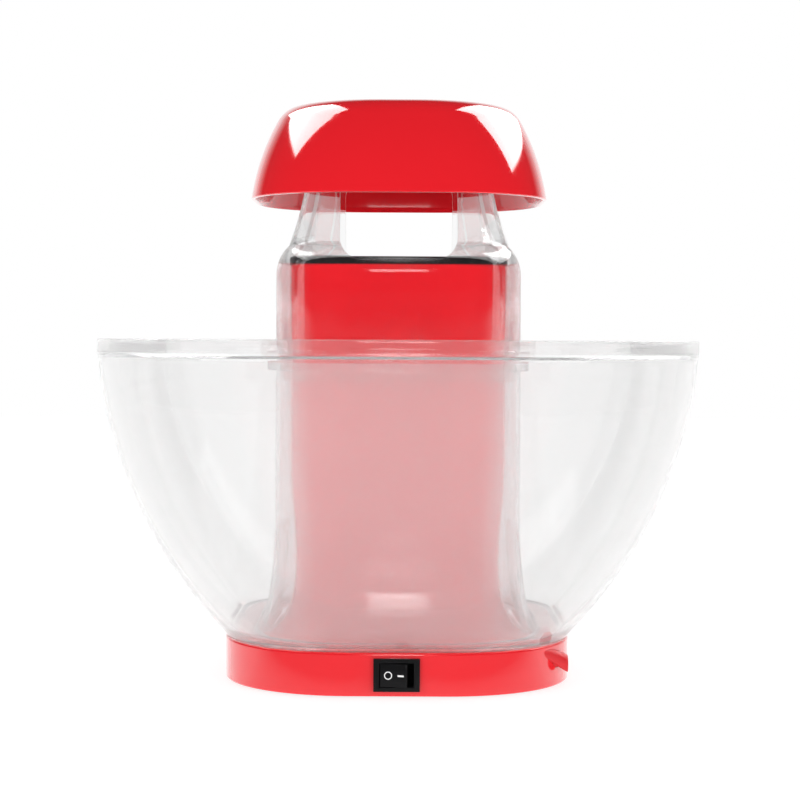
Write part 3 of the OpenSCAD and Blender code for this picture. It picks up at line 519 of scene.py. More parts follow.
def ramp(tree, value, start, end, low, high):
    """Goes evenly from low, where the value is at the start, to high, where it is at the end."""
    values = {"Value": value, "From Min": start, "From Max": end, "To Min": low, "To Max": high}
    return add(tree, "ShaderNodeMapRange", values).outputs["Result"]


def dented(tree, height, strength, depth):
    """The surface's direction with the dents of a height pattern."""
    values = {"Height": height, "Strength": strength, "Distance": depth}
    return add(tree, "ShaderNodeBump", values).outputs[0]


def two_shades(tree, factor, first, second):
    """A colour between two, each of which is three numbers or another node's output."""
    mix = add(tree, "ShaderNodeMix", {"Factor": factor}, data_type="RGBA")
    places = [i for i, socket in enumerate(mix.inputs) if socket.type == "RGBA"]
    for place, shade in zip(places, (first, second)):
        plug(tree, mix, {place: shade if isinstance(shade, bpy.types.NodeSocket) else (*shade, 1)})
    return next(socket for socket in mix.outputs if socket.type == "RGBA")


def painted(tree, shader):
    """Ends a material: the shader is what its surface shows."""
    plug(tree, tree.nodes["Material Output"], {"Surface": shader})


def moulded(name, colour, roughness, ripple=0.02, coat=0.0, shine=0.5):
    """Moulded plastic: its shade drifts a little, its skin isn't quite flat, and it mirrors by its shine."""
    made, tree, shader = new_finish(name)
    tone = noise(tree, 9, 3)
    lighter = [min(1, c * 1.05 + 0.001) for c in colour]
    darker = [c * 0.93 for c in colour]
    look = {
        "Base Color": two_shades(tree, tone, darker, lighter),
        "Roughness": ramp(tree, noise(tree, 160, 3), 0.0, 1.0, roughness * 0.8, roughness * 1.3),
        "Normal": dented(tree, noise(tree, 55, 1), ripple, 0.6 * MM),
        "IOR": 1.5,
        "Specular IOR Level": shine,
        "Coat Weight": coat,
        "Coat Roughness": 0.03,
    }
    plug(tree, shader, look)
    return made


def metal(name, colour, roughness, stretch=(1, 1, 1)):
    """Sheet or bar metal with fine drawing marks."""
    made, tree, shader = new_finish(name)
    grain = noise(tree, 120, 4, stretch)
    look = {
        "Base Color": two_shades(tree, grain, [c * 0.86 for c in colour], colour),
        "Roughness": ramp(tree, grain, 0.0, 1.0, roughness * 0.75, roughness * 1.3),
        "Normal": dented(tree, grain, 0.08, 0.2 * MM),
        "Metallic": 1.0,
    }
    plug(tree, shader, look)
    return made


def clear_plastic(name, tint, edge, haze, ior, plain, crisp_above=1.0):
    """Clear moulded plastic, with painted shade that greys it where it is seen edge on, that lets the lamps
    through.

    It scatters a share of haze, and lets a plain share go straight through. Above the height crisp_above
    more than half goes straight through.
    """
    made, tree, shader = new_finish(name)
    drift = two_shades(tree, noise(tree, 14, 2), [c * 0.985 for c in tint], tint)
    # Painted shade: the colour turns to the edge grey where the surface is seen edge on
    grazing = maths(tree, "POWER", add(tree, "ShaderNodeLayerWeight", {"Blend": 0.5}).outputs["Facing"], 4.0)
    look = {
        "Base Color": two_shades(tree, grazing, drift, edge),
        "Roughness": ramp(tree, noise(tree, 240, 4), 0.0, 1.0, 0.0, 0.05),
        "Normal": dented(tree, noise(tree, 30, 1), 0.02, 0.6 * MM),
        "Transmission Weight": 1 - haze,
        "IOR": ior,
    }
    plug(tree, shader, look)
    through = add(tree, "ShaderNodeBsdfTransparent", {"Color": (0.97, 0.97, 0.97, 1)})
    place = add(tree, "ShaderNodeTexCoord").outputs["Object"]
    height = add(tree, "ShaderNodeSeparateXYZ", {0: place}).outputs["Z"]
    plainly = ramp(tree, height, crisp_above, crisp_above + MM, plain, 0.55)
    straight = most(tree, add(tree, "ShaderNodeLightPath").outputs["Is Shadow Ray"], plainly)
    painted(tree, add(tree, "ShaderNodeMixShader", {0: straight, 1: shader, 2: through}))
    return made


def finish(name):
    """The finish of that name, made the first time that it is asked for."""
    if name in bpy.data.materials:
        return bpy.data.materials[name]
    looks = bpy.context.scene.popcorn_finishes
    red, black, clear, edge = list(looks.red), list(looks.black), list(looks.clear), looks.clear_edge
    darker_red, shaded_black = [0.8 * c for c in red], [0.6 * c for c in black]
    bowl_tint, ledge = [0.965 * c for c in clear], BOWL[1].z - sizes("bowl").rim_h + 0.2 * MM
    return {
        "red gloss": lambda: moulded(name, red, looks.gloss, ripple=0.015, coat=1.0),
        "red satin": lambda: moulded(name, darker_red, 0.5, ripple=0.015),
        "black gloss": lambda: moulded(name, black, 0.12),
        # Painted shade: the switch is the ring's black plastic, drawn darker and mirroring less
        "switch gloss": lambda: moulded(name, shaded_black, 0.12, shine=0.15),
        "black satin": lambda: moulded(name, [0.022, 0.022, 0.024], 0.42, 0.08),
        "bowl plastic": lambda: clear_plastic(name, bowl_tint, edge, looks.haze, 1.4, 0.1, crisp_above=ledge),
        "chute plastic": lambda: clear_plastic(name, clear, edge, haze=0.0, ior=1.3, plain=0.3),
        "drawn aluminium": lambda: metal(name, [0.78, 0.79, 0.80], 0.28, (1, 1, 12)),
        "zinc steel": lambda: metal(name, [0.62, 0.63, 0.65], 0.32),
        "mica": lambda: moulded(name, [0.42, 0.32, 0.17], 0.5, 0.1),
        "element wire": lambda: metal(name, [0.32, 0.30, 0.29], 0.45),
        "brass": lambda: metal(name, [0.78, 0.58, 0.27], 0.3),
        "board": lambda: moulded(name, [0.03, 0.19, 0.07], 0.35),
        "fan plastic": lambda: moulded(name, [0.68, 0.68, 0.65], 0.45, 0.06),
        "lead sleeve": lambda: moulded(name, [0.78, 0.75, 0.68], 0.55),
        "rubber": lambda: moulded(name, [0.028, 0.028, 0.03], 0.75, 0.12),
        "white mark": lambda: moulded(name, list(looks.mark), 0.4),
    }[name]()


# --- the pieces ---


def sizes(name):
    """The settings of that name in the scene."""
    return getattr(bpy.context.scene, "popcorn_" + name)


def outlet_mouth():
    """The middle of the cord outlet's outer end."""
    return Vector(OUTLET["pos_m"]) + Vector(OUTLET["axis"]) * (OUTLET["dims"]["length_mm"] * MM / 2)


def tube_straight():
    """Half the straight part of each side of the bowl's tube, which the chute's skirt follows."""
    s = sizes("bowl")
    return s.tube_in - 0.56 * (s.tube_in + s.tube_wall)


class MakeHousing(bpy.types.Operator):
    """Makes the red housing: base, deck, flared foot and tower in one moulding"""

    bl_idname = "popcorn.make_housing"
    bl_label = "Housing"

    def execute(self, context):
        s = sizes("housing")
        base, low, top = HOUSING[1].x, HOUSING[0].z, HOUSING[1].z
        waist = s.tower_half - s.waist_inset
        foot = waist + s.flare
        slope = (s.base_corner - s.tower_corner) / (base - s.tower_half)
        foot_step, tower_steps = 1.6 * MM, 18

        def tower(inset, drop=0.0):
            """The foot and the side of the tower, moved in by the inset, the foot lowered by the drop."""
            side = waist - inset
            start, turn = (foot - inset, s.deck_z + 0.3 * MM - drop), (side, s.deck_z + 8 * MM - drop)
            path = bend(start, turn, (side, s.waist_z), 26)
            for i in range(1, tower_steps + 1):
                t = i / tower_steps
                out = side + s.waist_inset * t * t * (3 - 2 * t)
                path.append(Vector((out, s.waist_z + t * (s.full_z - s.waist_z))))
            return path + [Vector((s.tower_half - inset, top))]

        outside = [
            (base - 0.4 * MM, low),
            (base, low + 0.6 * MM, 0.5 * MM),
            (base, s.deck_z, 1.2 * MM),
            (foot + foot_step, s.deck_z),
        ]
        inside = [
            (base - s.wall, low),
            (base - s.wall, s.deck_z - s.wall, 1.5 * MM),
            (foot - s.wall + foot_step, s.deck_z - s.wall),
        ]
        outside = rounded(outside, 6) + tower(0)
        inside = rounded(inside) + tower(s.wall, s.wall)
        profile = with_corners(outside, lambda h: s.tower_corner + (h - s.tower_half) * slope)
        profile += reversed(
            with_corners(inside, lambda h: s.tower_corner - s.wall + (h - s.tower_half + s.wall) * slope)
        )
        housing = skin("housing", profile, finish("red gloss"))

        # Four bosses for the cover's screws, and four posts in the tower for the blower's
        solid, hollow = bmesh.new(), bmesh.new()
        boss_at, boss_r, cover_top = base - 28.3 * MM, 4.2 * MM, COVER[0].z + 2.5 * MM
        post_at = (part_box("blower_screws")[1].x - 3 * MM) * math.sqrt(2)
        post_r, post_z = 4 * MM, 60 * MM
        post_top = post_z + 14 * MM
        for x in (-1, 1):
            for y in (-1, 1):
                at = (x * boss_at, y * boss_at)
                prism(solid, circle(boss_r, 32, at), cover_top, s.deck_z - s.wall + MM)
                prism(hollow, circle(SCREW_HOLE_R, 24, at), cover_top - MM, cover_top + 8 * MM)
                turn = Matrix.Rotation(math.atan2(y, x), 4, "Z")
                prism(solid, circle(post_r, 32, (post_at, 0)), post_z, post_top, turn)
                prism(solid, rectangle(post_at, post_at + 4.2 * MM, -2 * MM, 2 * MM), post_z, post_top, turn)
                prism(hollow, circle(SCREW_HOLE_R, 24, (post_at, 0)), post_z - MM, post_z + 8 * MM, turn)
        # The switch's opening, and the way through the wall behind the cord outlet
        centre = (SWITCH[0].z + SWITCH[1].z) / 2
        half_w = (SWITCH[1].x - SWITCH[0].x) / 2 - 0.9 * MM
        half_h = (SWITCH[1].z - SWITCH[0].z) / 2 - 0.95 * MM
        opening = rectangle(-half_w, half_w, -base - 4 * MM, -base + 4 * MM)
        prism(hollow, opening, centre - half_h, centre + half_h)
        mouth, along_x = outlet_mouth(), Matrix.Rotation(math.pi / 2, 4, "Y")
        way = Matrix.Translation((0, mouth.y, mouth.z + SHANK_RISE)) @ along_x
        prism(hollow, circle(SHANK_R + 0.15 * MM, 40), mouth.x - 18 * MM, mouth.x, way)
        housing = cut(housing, solid, "UNION")
        housing = cut(housing, hollow)
        stands_for(smooth(housing), "main_housing")
        return {"FINISHED"}


class MakeRing(bpy.types.Operator):
    """Makes the black ring round the chamber's mouth"""

    bl_idname = "popcorn.make_ring"
    bl_label = "Chamber ring"

    def execute(self, context):
        s = sizes("housing")
        half, top, seat = RING[1].x, RING[1].z, HOUSING[1].z
        corner = s.tower_corner + half - s.tower_half
        rim = s.tower_half - s.wall - SEAT_GAP
        mouth = 42 * MM
        offset = half - corner
        outer = [
            (rim, RING[0].z),
            (rim, seat),
            (half, seat, 0.3 * MM),
            (half, top, 0.8 * MM),
            (mouth + 3 * MM, top),
        ]
        profile = [(p[0], p[0] - offset, p[1]) for p in rounded(outer, 6)[:-1]]
        # Its corner radius equals its half width from here on, so the mouth is round
        round_part = [
            (mouth + 3 * MM, top),
            (mouth + 1.0 * MM, top, 0.5 * MM),
            (mouth, top - 1 * MM, 0.5 * MM),
            (mouth, seat, 0.2 * MM),
            (mouth + 0.8 * MM, seat),
        ]
        profile += [(p[0], p[0], p[1]) for p in rounded(round_part)]
        inner = rim - 1.4 * MM
        profile += [(inner, inner - offset, seat), (inner, inner - offset, RING[0].z)]
        ring = skin("chamber_ring_moulding", profile, finish("black gloss"))
        stands_for(ring, "chamber_ring")
        return {"FINISHED"}


class MakeBowl(bpy.types.Operator):
    """Makes the clear serving bowl with its inner tube"""

    bl_idname = "popcorn.make_bowl"
    bl_label = "Serving bowl"

    def execute(self, context):
        s, h = sizes("bowl"), sizes("housing")
        half, top, low, base = BOWL[1].x, BOWL[1].z, BOWL[0].z, HOUSING[1].x
        foot = Vector((base + 0.2 * MM, low + 1.4 * MM))
        brim = Vector((half - 0.3 * MM, top - s.rim_h))
        side = arc(foot, brim, s.bulge, 40)
        back = arc(brim + Vector((-s.wall, -1.6 * MM)), foot + Vector((-s.wall, 2.6 * MM)), -s.bulge, 36)
        turned_under = near(foot.x, low, (-1.8, 0), (-0.9, 0.15), (-0.3, 0.6))
        rim = [
            side[-1],
            (half, top - s.rim_h + 0.4 * MM, 0.3 * MM),
            (half, top, 0.7 * MM),
            (half - s.rim_wall, top, 0.7 * MM),
            (half - s.rim_wall, top - s.rim_h, 0.5 * MM),
            back[0],
        ]
        inside_x, floor_z = foot.x - s.wall, low + s.wall
        to_floor = near(inside_x, floor_z, (-1, 1), (-2.4, 0.25), (-4, 0))
        outside = turned_under + side + rounded(rim)[1:-1] + back + to_floor

        tube_out = s.tube_in + s.tube_wall
        flange, under, straight_z = tube_out + s.flange, s.joint_z - s.flange_h, 0.45 * top
        flared_out = tube_out + s.tube_flare
        outer_foot, outer_turn = (flared_out, floor_z + 0.6 * MM), (tube_out + 1.5 * MM, low + 10 * MM)
        inner_foot, inner_turn = (s.tube_in + s.tube_flare, low), (s.tube_in + 1.5 * MM, low + 9 * MM)
        outer_wall = bend(outer_foot, outer_turn, (tube_out, straight_z), 22)
        inner_wall = bend(inner_foot, inner_turn, (s.tube_in, straight_z), 22)
        from_floor = near(flared_out, floor_z, (2.5, 0), (1.1, 0.15))
        joint = [
            outer_wall[-1],
            (tube_out, under, 0.8 * MM),
            (flange, under, 0.5 * MM),
            (flange, s.joint_z, 0.5 * MM),
            (s.tube_in, s.joint_z, 0.3 * MM),
            inner_wall[-1],
        ]
        tube = from_floor + outer_wall + rounded(joint)[1:-1] + inner_wall[::-1]
        slope = (s.corner - h.base_corner) / (half - base)
        profile = with_corners(outside, lambda x: h.base_corner + (x - base) * slope)
        profile += [(p[0], p[0] - tube_straight(), p[1]) for p in tube]
        bowl = skin("bowl", profile, finish("bowl plastic"), facets=CLEAR_FACETS)
        stands_for(bowl, "serving_bowl")
        return {"FINISHED"}


class MakeChute(bpy.types.Operator):
    """Makes the clear chute: skirt, shoulder, and neck with four windows"""

    bl_idname = "popcorn.make_chute"
    bl_label = "Chute"

    def execute(self, context):
        s, b = sizes("chute"), sizes("bowl")
        low, top = CHUTE[0].z, CHUTE[1].z
        tube_out = b.tube_in + b.tube_wall
        flange, spigot, skirt = tube_out + b.flange, b.tube_in - SEAT_GAP, tube_out - 0.5 * MM
        seat = b.joint_z + SEAT_GAP
        skirt_z = seat + s.flange_h
        straight, neck_straight = tube_straight(), NECK_STRAIGHT * s.neck_top_half
        slope = (straight - neck_straight) / (skirt - s.neck_top_half)

        def corner_at(x):
            """The corner radius where the chute is x wide on each side."""
            return x - straight + slope * (skirt - x)

        neck_at, neck_turn = (s.neck_half, s.neck_z), s.neck_z + 0.45 * (top - s.neck_z)
        shoulder = bend((skirt, s.shoulder_z), (skirt, s.shoulder_z + 8 * MM), neck_at, 16)
        neck = bend(neck_at, (s.neck_top_half + MM, neck_turn), (s.neck_top_half, top), 22)
        shell = shoulder + neck[1:]
        joint = [
            (spigot, low),
            (spigot, seat, 0.2 * MM),
            (flange, seat, 0.5 * MM),
            (flange, skirt_z, 0.5 * MM),
            (skirt, skirt_z, 0.8 * MM),
            (skirt, skirt_z + 4 * MM),
        ]
        profile = [(p[0], p[0] - straight, p[1]) for p in rounded(joint)]
        profile += with_corners(shell, corner_at)
        profile += [(p[0] - s.wall, corner_at(p[0]) - s.wall, p[1]) for p in reversed(shell)]
        for x, z in ((skirt - s.wall, skirt_z), (spigot - s.wall, seat), (spigot - s.wall, low)):
            profile.append((x, corner_at(min(x + s.wall, skirt)) - s.wall, z))
        chute = skin("chute_shell", profile, finish("chute plastic"), facets=CLEAR_FACETS)
        # Each of the two cutters goes right through, and opens the windows of two sides
        windows, half_w, reach = bmesh.new(), s.window_w / 2, 0.1
        sill, head = RING[1].z - s.window_drop, top - s.neck_band
        window = rounded_rectangle(-half_w, half_w, sill, head, s.window_r, 12)
        for turn in (0, 90):
            place = Matrix.Rotation(math.radians(turn), 4, "Z") @ Matrix.Rotation(math.radians(90), 4, "X")
            prism(windows, window, -reach, reach, place)
        chute = smooth(cut(chute, windows), 30)
        stands_for(chute, "chute")
        return {"FINISHED"}


class MakeCap(bpy.types.Operator):
    """Makes the red cap with the collar and ribs inside it"""

    bl_idname = "popcorn.make_cap"
    bl_label = "Cap"

    def execute(self, context):
        s, c = sizes("cap"), sizes("chute")
        half, low, top = CAP[1].x, CAP[0].z, CAP[1].z
        shoulder, ceiling_z = half - s.lean, top - s.wall
        turn_z = top - s.round_h - 0.8 * MM
        lip = near(half, low, (-0.9, 0), (-0.3, 0.15))
        side = arc((half, low + 0.5 * MM), (shoulder, turn_z), 1.6 * MM, 16)
        over_turn, over_end = (shoulder - 3.7 * MM, top - 0.9 * MM), (shoulder - 10.5 * MM, top - 0.7 * MM)
        round_over = bend((shoulder, turn_z), over_turn, over_end, 14)
        crown = bend(round_over[-1], (0.6 * shoulder, top - 0.05 * MM), (0, top), 10)
        outside = lip + side + round_over[1:] + crown[1:]
        inner_side = [p - Vector((s.wall, 0)) for p in side]
        under_start = (shoulder - s.wall, turn_z - 0.8 * MM)
        under_turn = (shoulder - 5.3 * MM, top - MM - s.wall)
        under_end = (shoulder - 11.5 * MM, top - 0.8 * MM - s.wall)
        under = bend(under_start, under_turn, under_end, 10)
        ceiling = bend(under[-1], (0.6 * shoulder, ceiling_z), (0, ceiling_z), 8)
        inside = [Vector((half - s.wall + 0.4 * MM, low))] + inner_side[:-1] + under + ceiling[1:]

        def corner_at(x):
            """The corner radius where the cap is x wide on each side: the crown ends in a point."""
            return max(0.0, min(x, half - s.flat + (x - half) * 0.6))

        profile = with_corners(inside[::-1], corner_at) + with_corners(outside, corner_at)
        cap = skin("cap_moulding", profile, finish("red gloss"), joined=False)
        collar_corner = s.collar_half - NECK_STRAIGHT * c.neck_top_half
        wall, collar_z, collar_top = 1.8 * MM, CHUTE[1].z - s.collar_drop, ceiling_z + 0.4 * MM
        section = ((0, collar_z), (0, collar_top), (wall, collar_top), (wall, collar_z))
        section = [(s.collar_half - inset, collar_corner - inset, z) for inset, z in section]
        collar = skin("collar", section, finish("red gloss"))
        extra = bmesh.new()
        extra.from_mesh(collar.data)
        bpy.data.objects.remove(collar)
        rib = rectangle(s.collar_half - MM, c.neck_top_half + MM, -0.8 * MM, 0.8 * MM)
        for k in range(4):
            turn = Matrix.Rotation(k * math.pi / 2, 4, "Z")
            prism(extra, rib, CHUTE[1].z + SEAT_GAP, collar_top - 0.1 * MM, turn)
        cap = cut(cap, extra, "UNION")
        stands_for(smooth(cap), "cap")
        return {"FINISHED"}


class MakeOutlet(bpy.types.Operator):
    """Makes the drooping red spout at the corner of the base that a cord would leave by"""

    bl_idname = "popcorn.make_outlet"
    bl_label = "Cord outlet"

    def execute(self, context):
        s, mouth, bm = sizes("outlet"), outlet_mouth(), bmesh.new()
        turns = [TAU * i / 44 for i in range(44)]

        def loop(x, y, z, half_y, half_z):
            """An upright oval of points, square to X."""
            return [bm.verts.new((x, y + half_y * math.cos(t), z + half_z * math.sin(t))) for t in turns]

        # The hood leaves the rounded wall in front of the mouth and drops toward it
        hood, rows, edge_r, front_root, back_root = [], 18, 0.25 * MM, 7.2 * MM, 14.3 * MM
        for i in range(rows + 1):
            t = i / rows
            front = mouth.y - s.tip_h - front_root * (1 - t) ** 1.6
            back = mouth.y + s.tip_h - back_root * (1 - t) ** 1.9
            half = s.root_h + (s.tip_h - s.root_h) * (1 - (1 - t) ** 2.2)
            edge = edge_r if i == rows else 0.0
            x, y, z = mouth.x - s.reach * (1 - t), (front + back) / 2, mouth.z + s.droop * (1 - t**1.15)
            hood.append(loop(x, y, z, (back - front) / 2 - edge, half - edge))
            if i == rows - 1:
                hood.append(loop(mouth.x - edge_r, mouth.y, mouth.z + 0.02 * s.droop, s.tip_h, s.tip_h))
        hood.append(loop(mouth.x, mouth.y, mouth.z, s.bore, s.bore))
        hood.append(loop(mouth.x - 2.5 * MM, mouth.y, mouth.z + 1.0 * MM, 0.84 * s.bore, 0.84 * s.bore))
        join_rings(bm, hood)
        bm.faces.new(hood[0])
        bm.faces.new(hood[-1])
        # The tube behind the wall, with its collar
        back_x, shank_z = mouth.x - 15 * MM, mouth.z + SHANK_RISE
        collar_r, inner_r = 5.2 * MM, SHANK_R - 0.7 * MM
        section = ((0, inner_r), (0, collar_r), (1.4, collar_r), (1.4, SHANK_R), (10, SHANK_R), (10, inner_r))
        join_rings(bm, [loop(back_x + x * MM, mouth.y, shank_z, r, r) for x, r in section + section[:1]])
        bmesh.ops.remove_doubles(bm, verts=bm.verts, dist=TOUCHING)
        spout = smooth(new_object("cord_spout", bm, finish("red satin")), 45)
        stands_for(spout, "cord_outlet")
        return {"FINISHED"}


class MakeSwitch(bpy.types.Operator):
    """Makes the switch's bezel and rocker, with the marks for off and on"""

    bl_idname = "popcorn.make_switch"
    bl_label = "Switch"

    def execute(self, context):
        for node, name, edge in (("switch_body", "switch_bezel", 0.35), ("switch_rocker", "rocker", 0.3)):
            piece = bevelled(copy_of(node, name, finish("switch gloss")), edge * MM, 50)
            stands_for(piece, node)
        middle = Vector((PIVOT.x, PIVOT.y, (SWITCH[0].z + SWITCH[1].z) / 2))
        turned = Matrix.Translation(middle) @ Matrix.Rotation(math.radians(-12), 4, "Z")
        # The rocker's face is dished: its halves slant toward its middle, which is 6 mm in front of the pins
        slant, face_y, raised = math.atan2(0.9, 5.7), -6.0 * MM, 0.05 * MM
        dash = rounded_rectangle(-1.5 * MM, 1.5 * MM, -0.38 * MM, 0.38 * MM, 0.15 * MM, 4)
        for name, at, tilt in (("mark_off", -2.6 * MM, 1), ("mark_on", 3.3 * MM, -1)):
            # +X along that half of the face, +Z out of it
            half = Matrix.Rotation(tilt * slant, 4, "Z") @ Matrix.Rotation(math.pi / 2, 4, "X")
            place = turned @ Matrix.Translation((0, face_y, 0)) @ half @ Matrix.Translation((at, 0, 0))
            bm = bmesh.new()
            if name == "mark_off":
                ring_outline(bm, 1.8 * MM, 1.4 * MM, -raised, raised, place)
            else:
                prism(bm, dash, -raised, raised, place)
            mark = new_object(name, bm, finish("white mark"))
            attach(mark, BODY_OF["switch_rocker"])
        return {"FINISHED"}


class DressInside(bpy.types.Operator):
    """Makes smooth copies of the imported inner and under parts, with their finishes"""

    bl_idname = "popcorn.dress_inside"
    bl_label = "Inner parts"

    def execute(self, context):
        for nodes, name, slot in (
            ("popping_chamber", "drawn aluminium", "aluminium"),
            ("air_duct motor_can motor_screws motor_shaft", "zinc steel", "steel"),
            ("ring_screws blower_screws cover_screws", "zinc steel", "steel"),
            ("mica_liner mica_card_lower mica_card_upper", "mica", "mica"),
            ("heating_coil", "element wire", "element"),
            ("thermal_fuse switch_terminals", "brass", "brass"),
            ("thermostat blower_housing motor_endcap", "black satin", "black_satin"),
            ("rectifier_diodes bottom_cover", "black satin", "black_satin"),
            ("rectifier_board", "board", "board"),
            ("fan_impeller", "fan plastic", "fan_plastic"),
            ("internal_leads", "lead sleeve", "lead_sleeve"),
            ("rubber_feet", "rubber", "rubber"),
        ):
            for node in nodes.split():
                piece = smooth(copy_of(node, node + "_smooth", finish(name)), 32)
                stands_for(piece, node)
        return {"FINISHED"}


# --- floor, lamps and camera ---


def shown_strength(tree, shown, in_gloss, lighting, inner):
    """How strongly a surface or the world shines, by what kind of ray meets it.

    Shown is for what is seen straight or through clear plastic, in_gloss for what gloss mirrors, lighting for
    plain light, and inner for light that reaches a surface through clear plastic.
    """
    path = add(tree, "ShaderNodeLightPath").outputs
    scattered = least(tree, path["Diffuse Depth"], 1.0)
    mirrored = least(tree, path["Glossy Depth"], 1.0)
    traced = most(tree, path["Is Camera Ray"], path["Is Transmission Ray"], path["Is Glossy Ray"])
    seen = ramp(tree, mirrored, 0.0, 1.0, shown, in_gloss)
    unscattered = times(tree, seen, minus(tree, 1.0, scattered))
    traced_part = times(tree, traced, plus(tree, unscattered, times(tree, scattered, inner)))
    return plus(tree, traced_part, times(tree, minus(tree, 1.0, traced), lighting))


def softbox(tree, direction, side, tip, slopes, reach):
    """1 inside a softbox beside the object as gloss mirrors it, and 0 outside it.

    It is a panel that hangs with one corner down. Its places are (back, up), both as shares of the way to
    the side: the corner's tip, the slopes of the two edges that rise from it, and how far it reaches, as the
    least and the most back and the most up.
    """
    sideways = times(tree, direction.outputs["X"], side)
    across = most(tree, sideways, 0.05)
    back = minus(tree, maths(tree, "DIVIDE", direction.outputs["Y"], across), tip[0])
    up = minus(tree, maths(tree, "DIVIDE", direction.outputs["Z"], across), tip[1])
    inside = least(
        tree,
        plus(tree, up, times(tree, back, slopes[0])),
        minus(tree, up, times(tree, back, slopes[1])),
        minus(tree, back, reach[0] - tip[0]),
        minus(tree, reach[1] - tip[0], back),
        minus(tree, reach[2] - tip[1], up),
        minus(tree, sideways, 0.12),
    )
    return ramp(tree, inside, 0.0, 0.03, 0.0, 1.0)


def strip_light(tree, direction):
    """Brightness of a short level strip light in front of the object as gloss mirrors it."""
    half_w, half_h, raised, brightness = 0.032, 0.045, 0.17, 16.0
    ahead = most(tree, times(tree, direction.outputs["Y"], -1.0), 0.05)
    across = maths(tree, "ABSOLUTE", maths(tree, "DIVIDE", direction.outputs["X"], ahead))
    up = maths(tree, "DIVIDE", direction.outputs["Z"], ahead)
    off_middle = maths(tree, "ABSOLUTE", minus(tree, up, raised))
    in_width = ramp(tree, across, half_w, half_w + 0.004, brightness, 0.0)
    in_height = ramp(tree, off_middle, half_h, half_h + 0.01, 1.0, 0.0)
    return times(tree, in_width, in_height)


def lay_floor():
    """A pale floor that takes the object's shadow, and shines to the eye as the background does."""
    bm = bmesh.new()
    prism(bm, rectangle(-3, 3, -3, 3), -0.01, 0)
    made, tree, shader = new_finish("floor")
    shade = two_shades(tree, noise(tree, 3, 2), (0.29, 0.29, 0.29), (0.31, 0.31, 0.31))
    plug(tree, shader, {"Base Color": shade, "Roughness": 0.6, "Specular IOR Level": 0.0})
    place = add(tree, "ShaderNodeTexCoord").outputs["Object"]
    depth = add(tree, "ShaderNodeSeparateXYZ", {0: place}).outputs["Y"]
    # Gloss sees little of the floor in front of the object, as it sees a dark room there
    in_gloss = ramp(tree, depth, -0.05, -0.14, 0.9, 0.08)
    strength = shown_strength(tree, shown=0.82, in_gloss=in_gloss, lighting=1.0, inner=1.3)
    glow = add(tree, "ShaderNodeEmission", {"Color": (1, 1, 1, 1), "Strength": strength})
    painted(tree, add(tree, "ShaderNodeAddShader", {0: shader, 1: glow}))
    new_object("floor", bm, made)


def set_world(scene):
    """A white world to the eye, an even light on the object, and a studio with softboxes in its gloss."""
    world = bpy.data.worlds.new("studio")
    scene.world = world
    world.use_nodes = True
    tree = world.node_tree
    tree.nodes.clear()
    way = add(tree, "ShaderNodeTexCoord").outputs["Generated"]
    direction = add(tree, "ShaderNodeSeparateXYZ", {0: way})
    path = add(tree, "ShaderNodeLightPath").outputs
    # Gloss sees a dark room in front, and light again once it has been to and fro inside the clear plastic
    room = ramp(tree, path["Glossy Depth"], 1.0, 2.0, 0.05, 0.8)
    around = most(tree, ramp(tree, direction.outputs["Y"], 0.6, 0.85, 0.0, 1.0), room)
    left = softbox(tree, direction, -1, tip=(0.0, 0.62), slopes=(2.6, 0.2), reach=(-0.5, 1.6, 2.8))
    right = softbox(tree, direction, 1, tip=(0.09, 0.46), slopes=(6.0, 0.16), reach=(-0.6, 2.3, 2.45))
    # The softboxes are weaker in what gloss mirrors through the clear plastic
    power = ramp(tree, path["Transmission Depth"], 0.0, 1.0, 8.0, 1.5)
    panels = times(tree, most(tree, left, right), power)
    panels = most(tree, panels, strip_light(tree, direction))
    in_gloss = most(tree, around, panels)
    lighting = ramp(tree, direction.outputs["Y"], 0.0, 1.0, 0.6, 1.1)
    strength = shown_strength(tree, shown=1.0, in_gloss=in_gloss, lighting=lighting, inner=1.3)
    back = add(tree, "ShaderNodeBackground", {"Color": (1, 1, 1, 1), "Strength": strength})
    add(tree, "ShaderNodeOutputWorld", {"Surface": back})


def add_lamp(name, place, aim, size, power):
    """A softbox that lights the object but isn't seen in gloss or through the clear plastic."""
    data = bpy.data.lights.new(name, "AREA")
    data.shape, data.size, data.size_y, data.energy = "RECTANGLE", size[0], size[1], power
    lamp = in_scene(name, data)
    lamp.location = place
    lamp.visible_glossy = lamp.visible_transmission = False
    lamp.rotation_euler = (Vector(aim) - Vector(place)).to_track_quat("-Z", "Y").to_euler()


def add_camera(place, lens, down, roll):
    """The camera, which looks along +Y, turned down and rolled by those degrees."""
    data = bpy.data.cameras.new("camera")
    data.lens, data.sensor_width = lens, 36
    camera = in_scene("camera", data)
    camera.location = place
    camera.rotation_euler = (math.radians(90 - down), math.radians(-roll), 0)
    bpy.context.scene.camera = camera


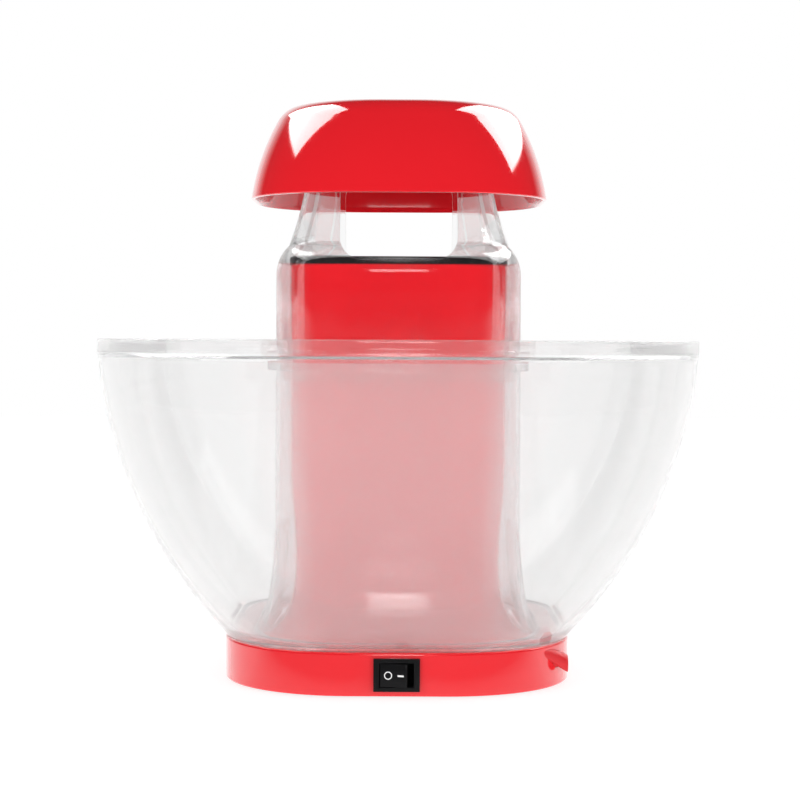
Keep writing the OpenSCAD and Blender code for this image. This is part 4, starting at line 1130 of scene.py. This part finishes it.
class SetStage(bpy.types.Operator):
    """Lays the floor and sets the lamps and the camera"""

    bl_idname = "popcorn.set_stage"
    bl_label = "Floor, lamps and camera"

    def execute(self, context):
        scene = context.scene
        lay_floor()
        set_world(scene)
        for name, x in (("left softbox", -0.75), ("right softbox", 0.75)):
            add_lamp(name, (x, -0.95, 0.16), (0, 0, 0.15), (0.8, 0.3), 2.8)
        add_lamp("top softbox", (0, 0.1, 1.6), (0, 0, 0.1), (1.2, 1.2), 2)
        add_camera((0.0008, -0.9368, 0.1624), lens=85.5, down=1.81, roll=0.28)
        scene.view_settings.view_transform = "Standard"
        scene.cycles.use_denoising = True
        scene.cycles.transmission_bounces = 16
        scene.cycles.transparent_max_bounces = 24
        scene.cycles.max_bounces = 20
        return {"FINISHED"}


class PopcornPanel(bpy.types.Panel):
    """Lists the pieces and the sizes and colours that they follow"""

    bl_idname = "VIEW3D_PT_popcorn_maker"
    bl_label = "Popcorn Maker"
    bl_space_type = "VIEW_3D"
    bl_region_type = "UI"
    bl_category = "Popcorn Maker"

    def draw(self, context):
        for name, group in SETTINGS.items():
            box = self.layout.box()
            box.label(text=name.capitalize())
            for key in group.__annotations__:
                box.prop(getattr(context.scene, "popcorn_" + name), key)
        for operator in OPERATORS:
            self.layout.operator(operator.bl_idname)


SETTINGS = {
    "housing": HousingSizes,
    "bowl": BowlSizes,
    "chute": ChuteSizes,
    "cap": CapSizes,
    "outlet": OutletSizes,
    "finishes": Finishes,
}
PIECES = (MakeHousing, MakeRing, MakeBowl, MakeChute, MakeCap, MakeOutlet, MakeSwitch)
OPERATORS = (*PIECES, DressInside, SetStage)
CLASSES = (*SETTINGS.values(), *OPERATORS, PopcornPanel)


def register():
    for cls in CLASSES:
        bpy.utils.register_class(cls)
    for name, group in SETTINGS.items():
        setattr(bpy.types.Scene, "popcorn_" + name, bpy.props.PointerProperty(type=group))


def unregister():
    for name in SETTINGS:
        delattr(bpy.types.Scene, "popcorn_" + name)
    for cls in reversed(CLASSES):
        bpy.utils.unregister_class(cls)


def main():
    register()
    bpy.ops.popcorn.make_housing()
    bpy.ops.popcorn.make_ring()
    bpy.ops.popcorn.make_bowl()
    bpy.ops.popcorn.make_chute()
    bpy.ops.popcorn.make_cap()
    bpy.ops.popcorn.make_outlet()
    bpy.ops.popcorn.make_switch()
    bpy.ops.popcorn.dress_inside()
    bpy.ops.popcorn.set_stage()


if __name__ == "__main__":
    main()
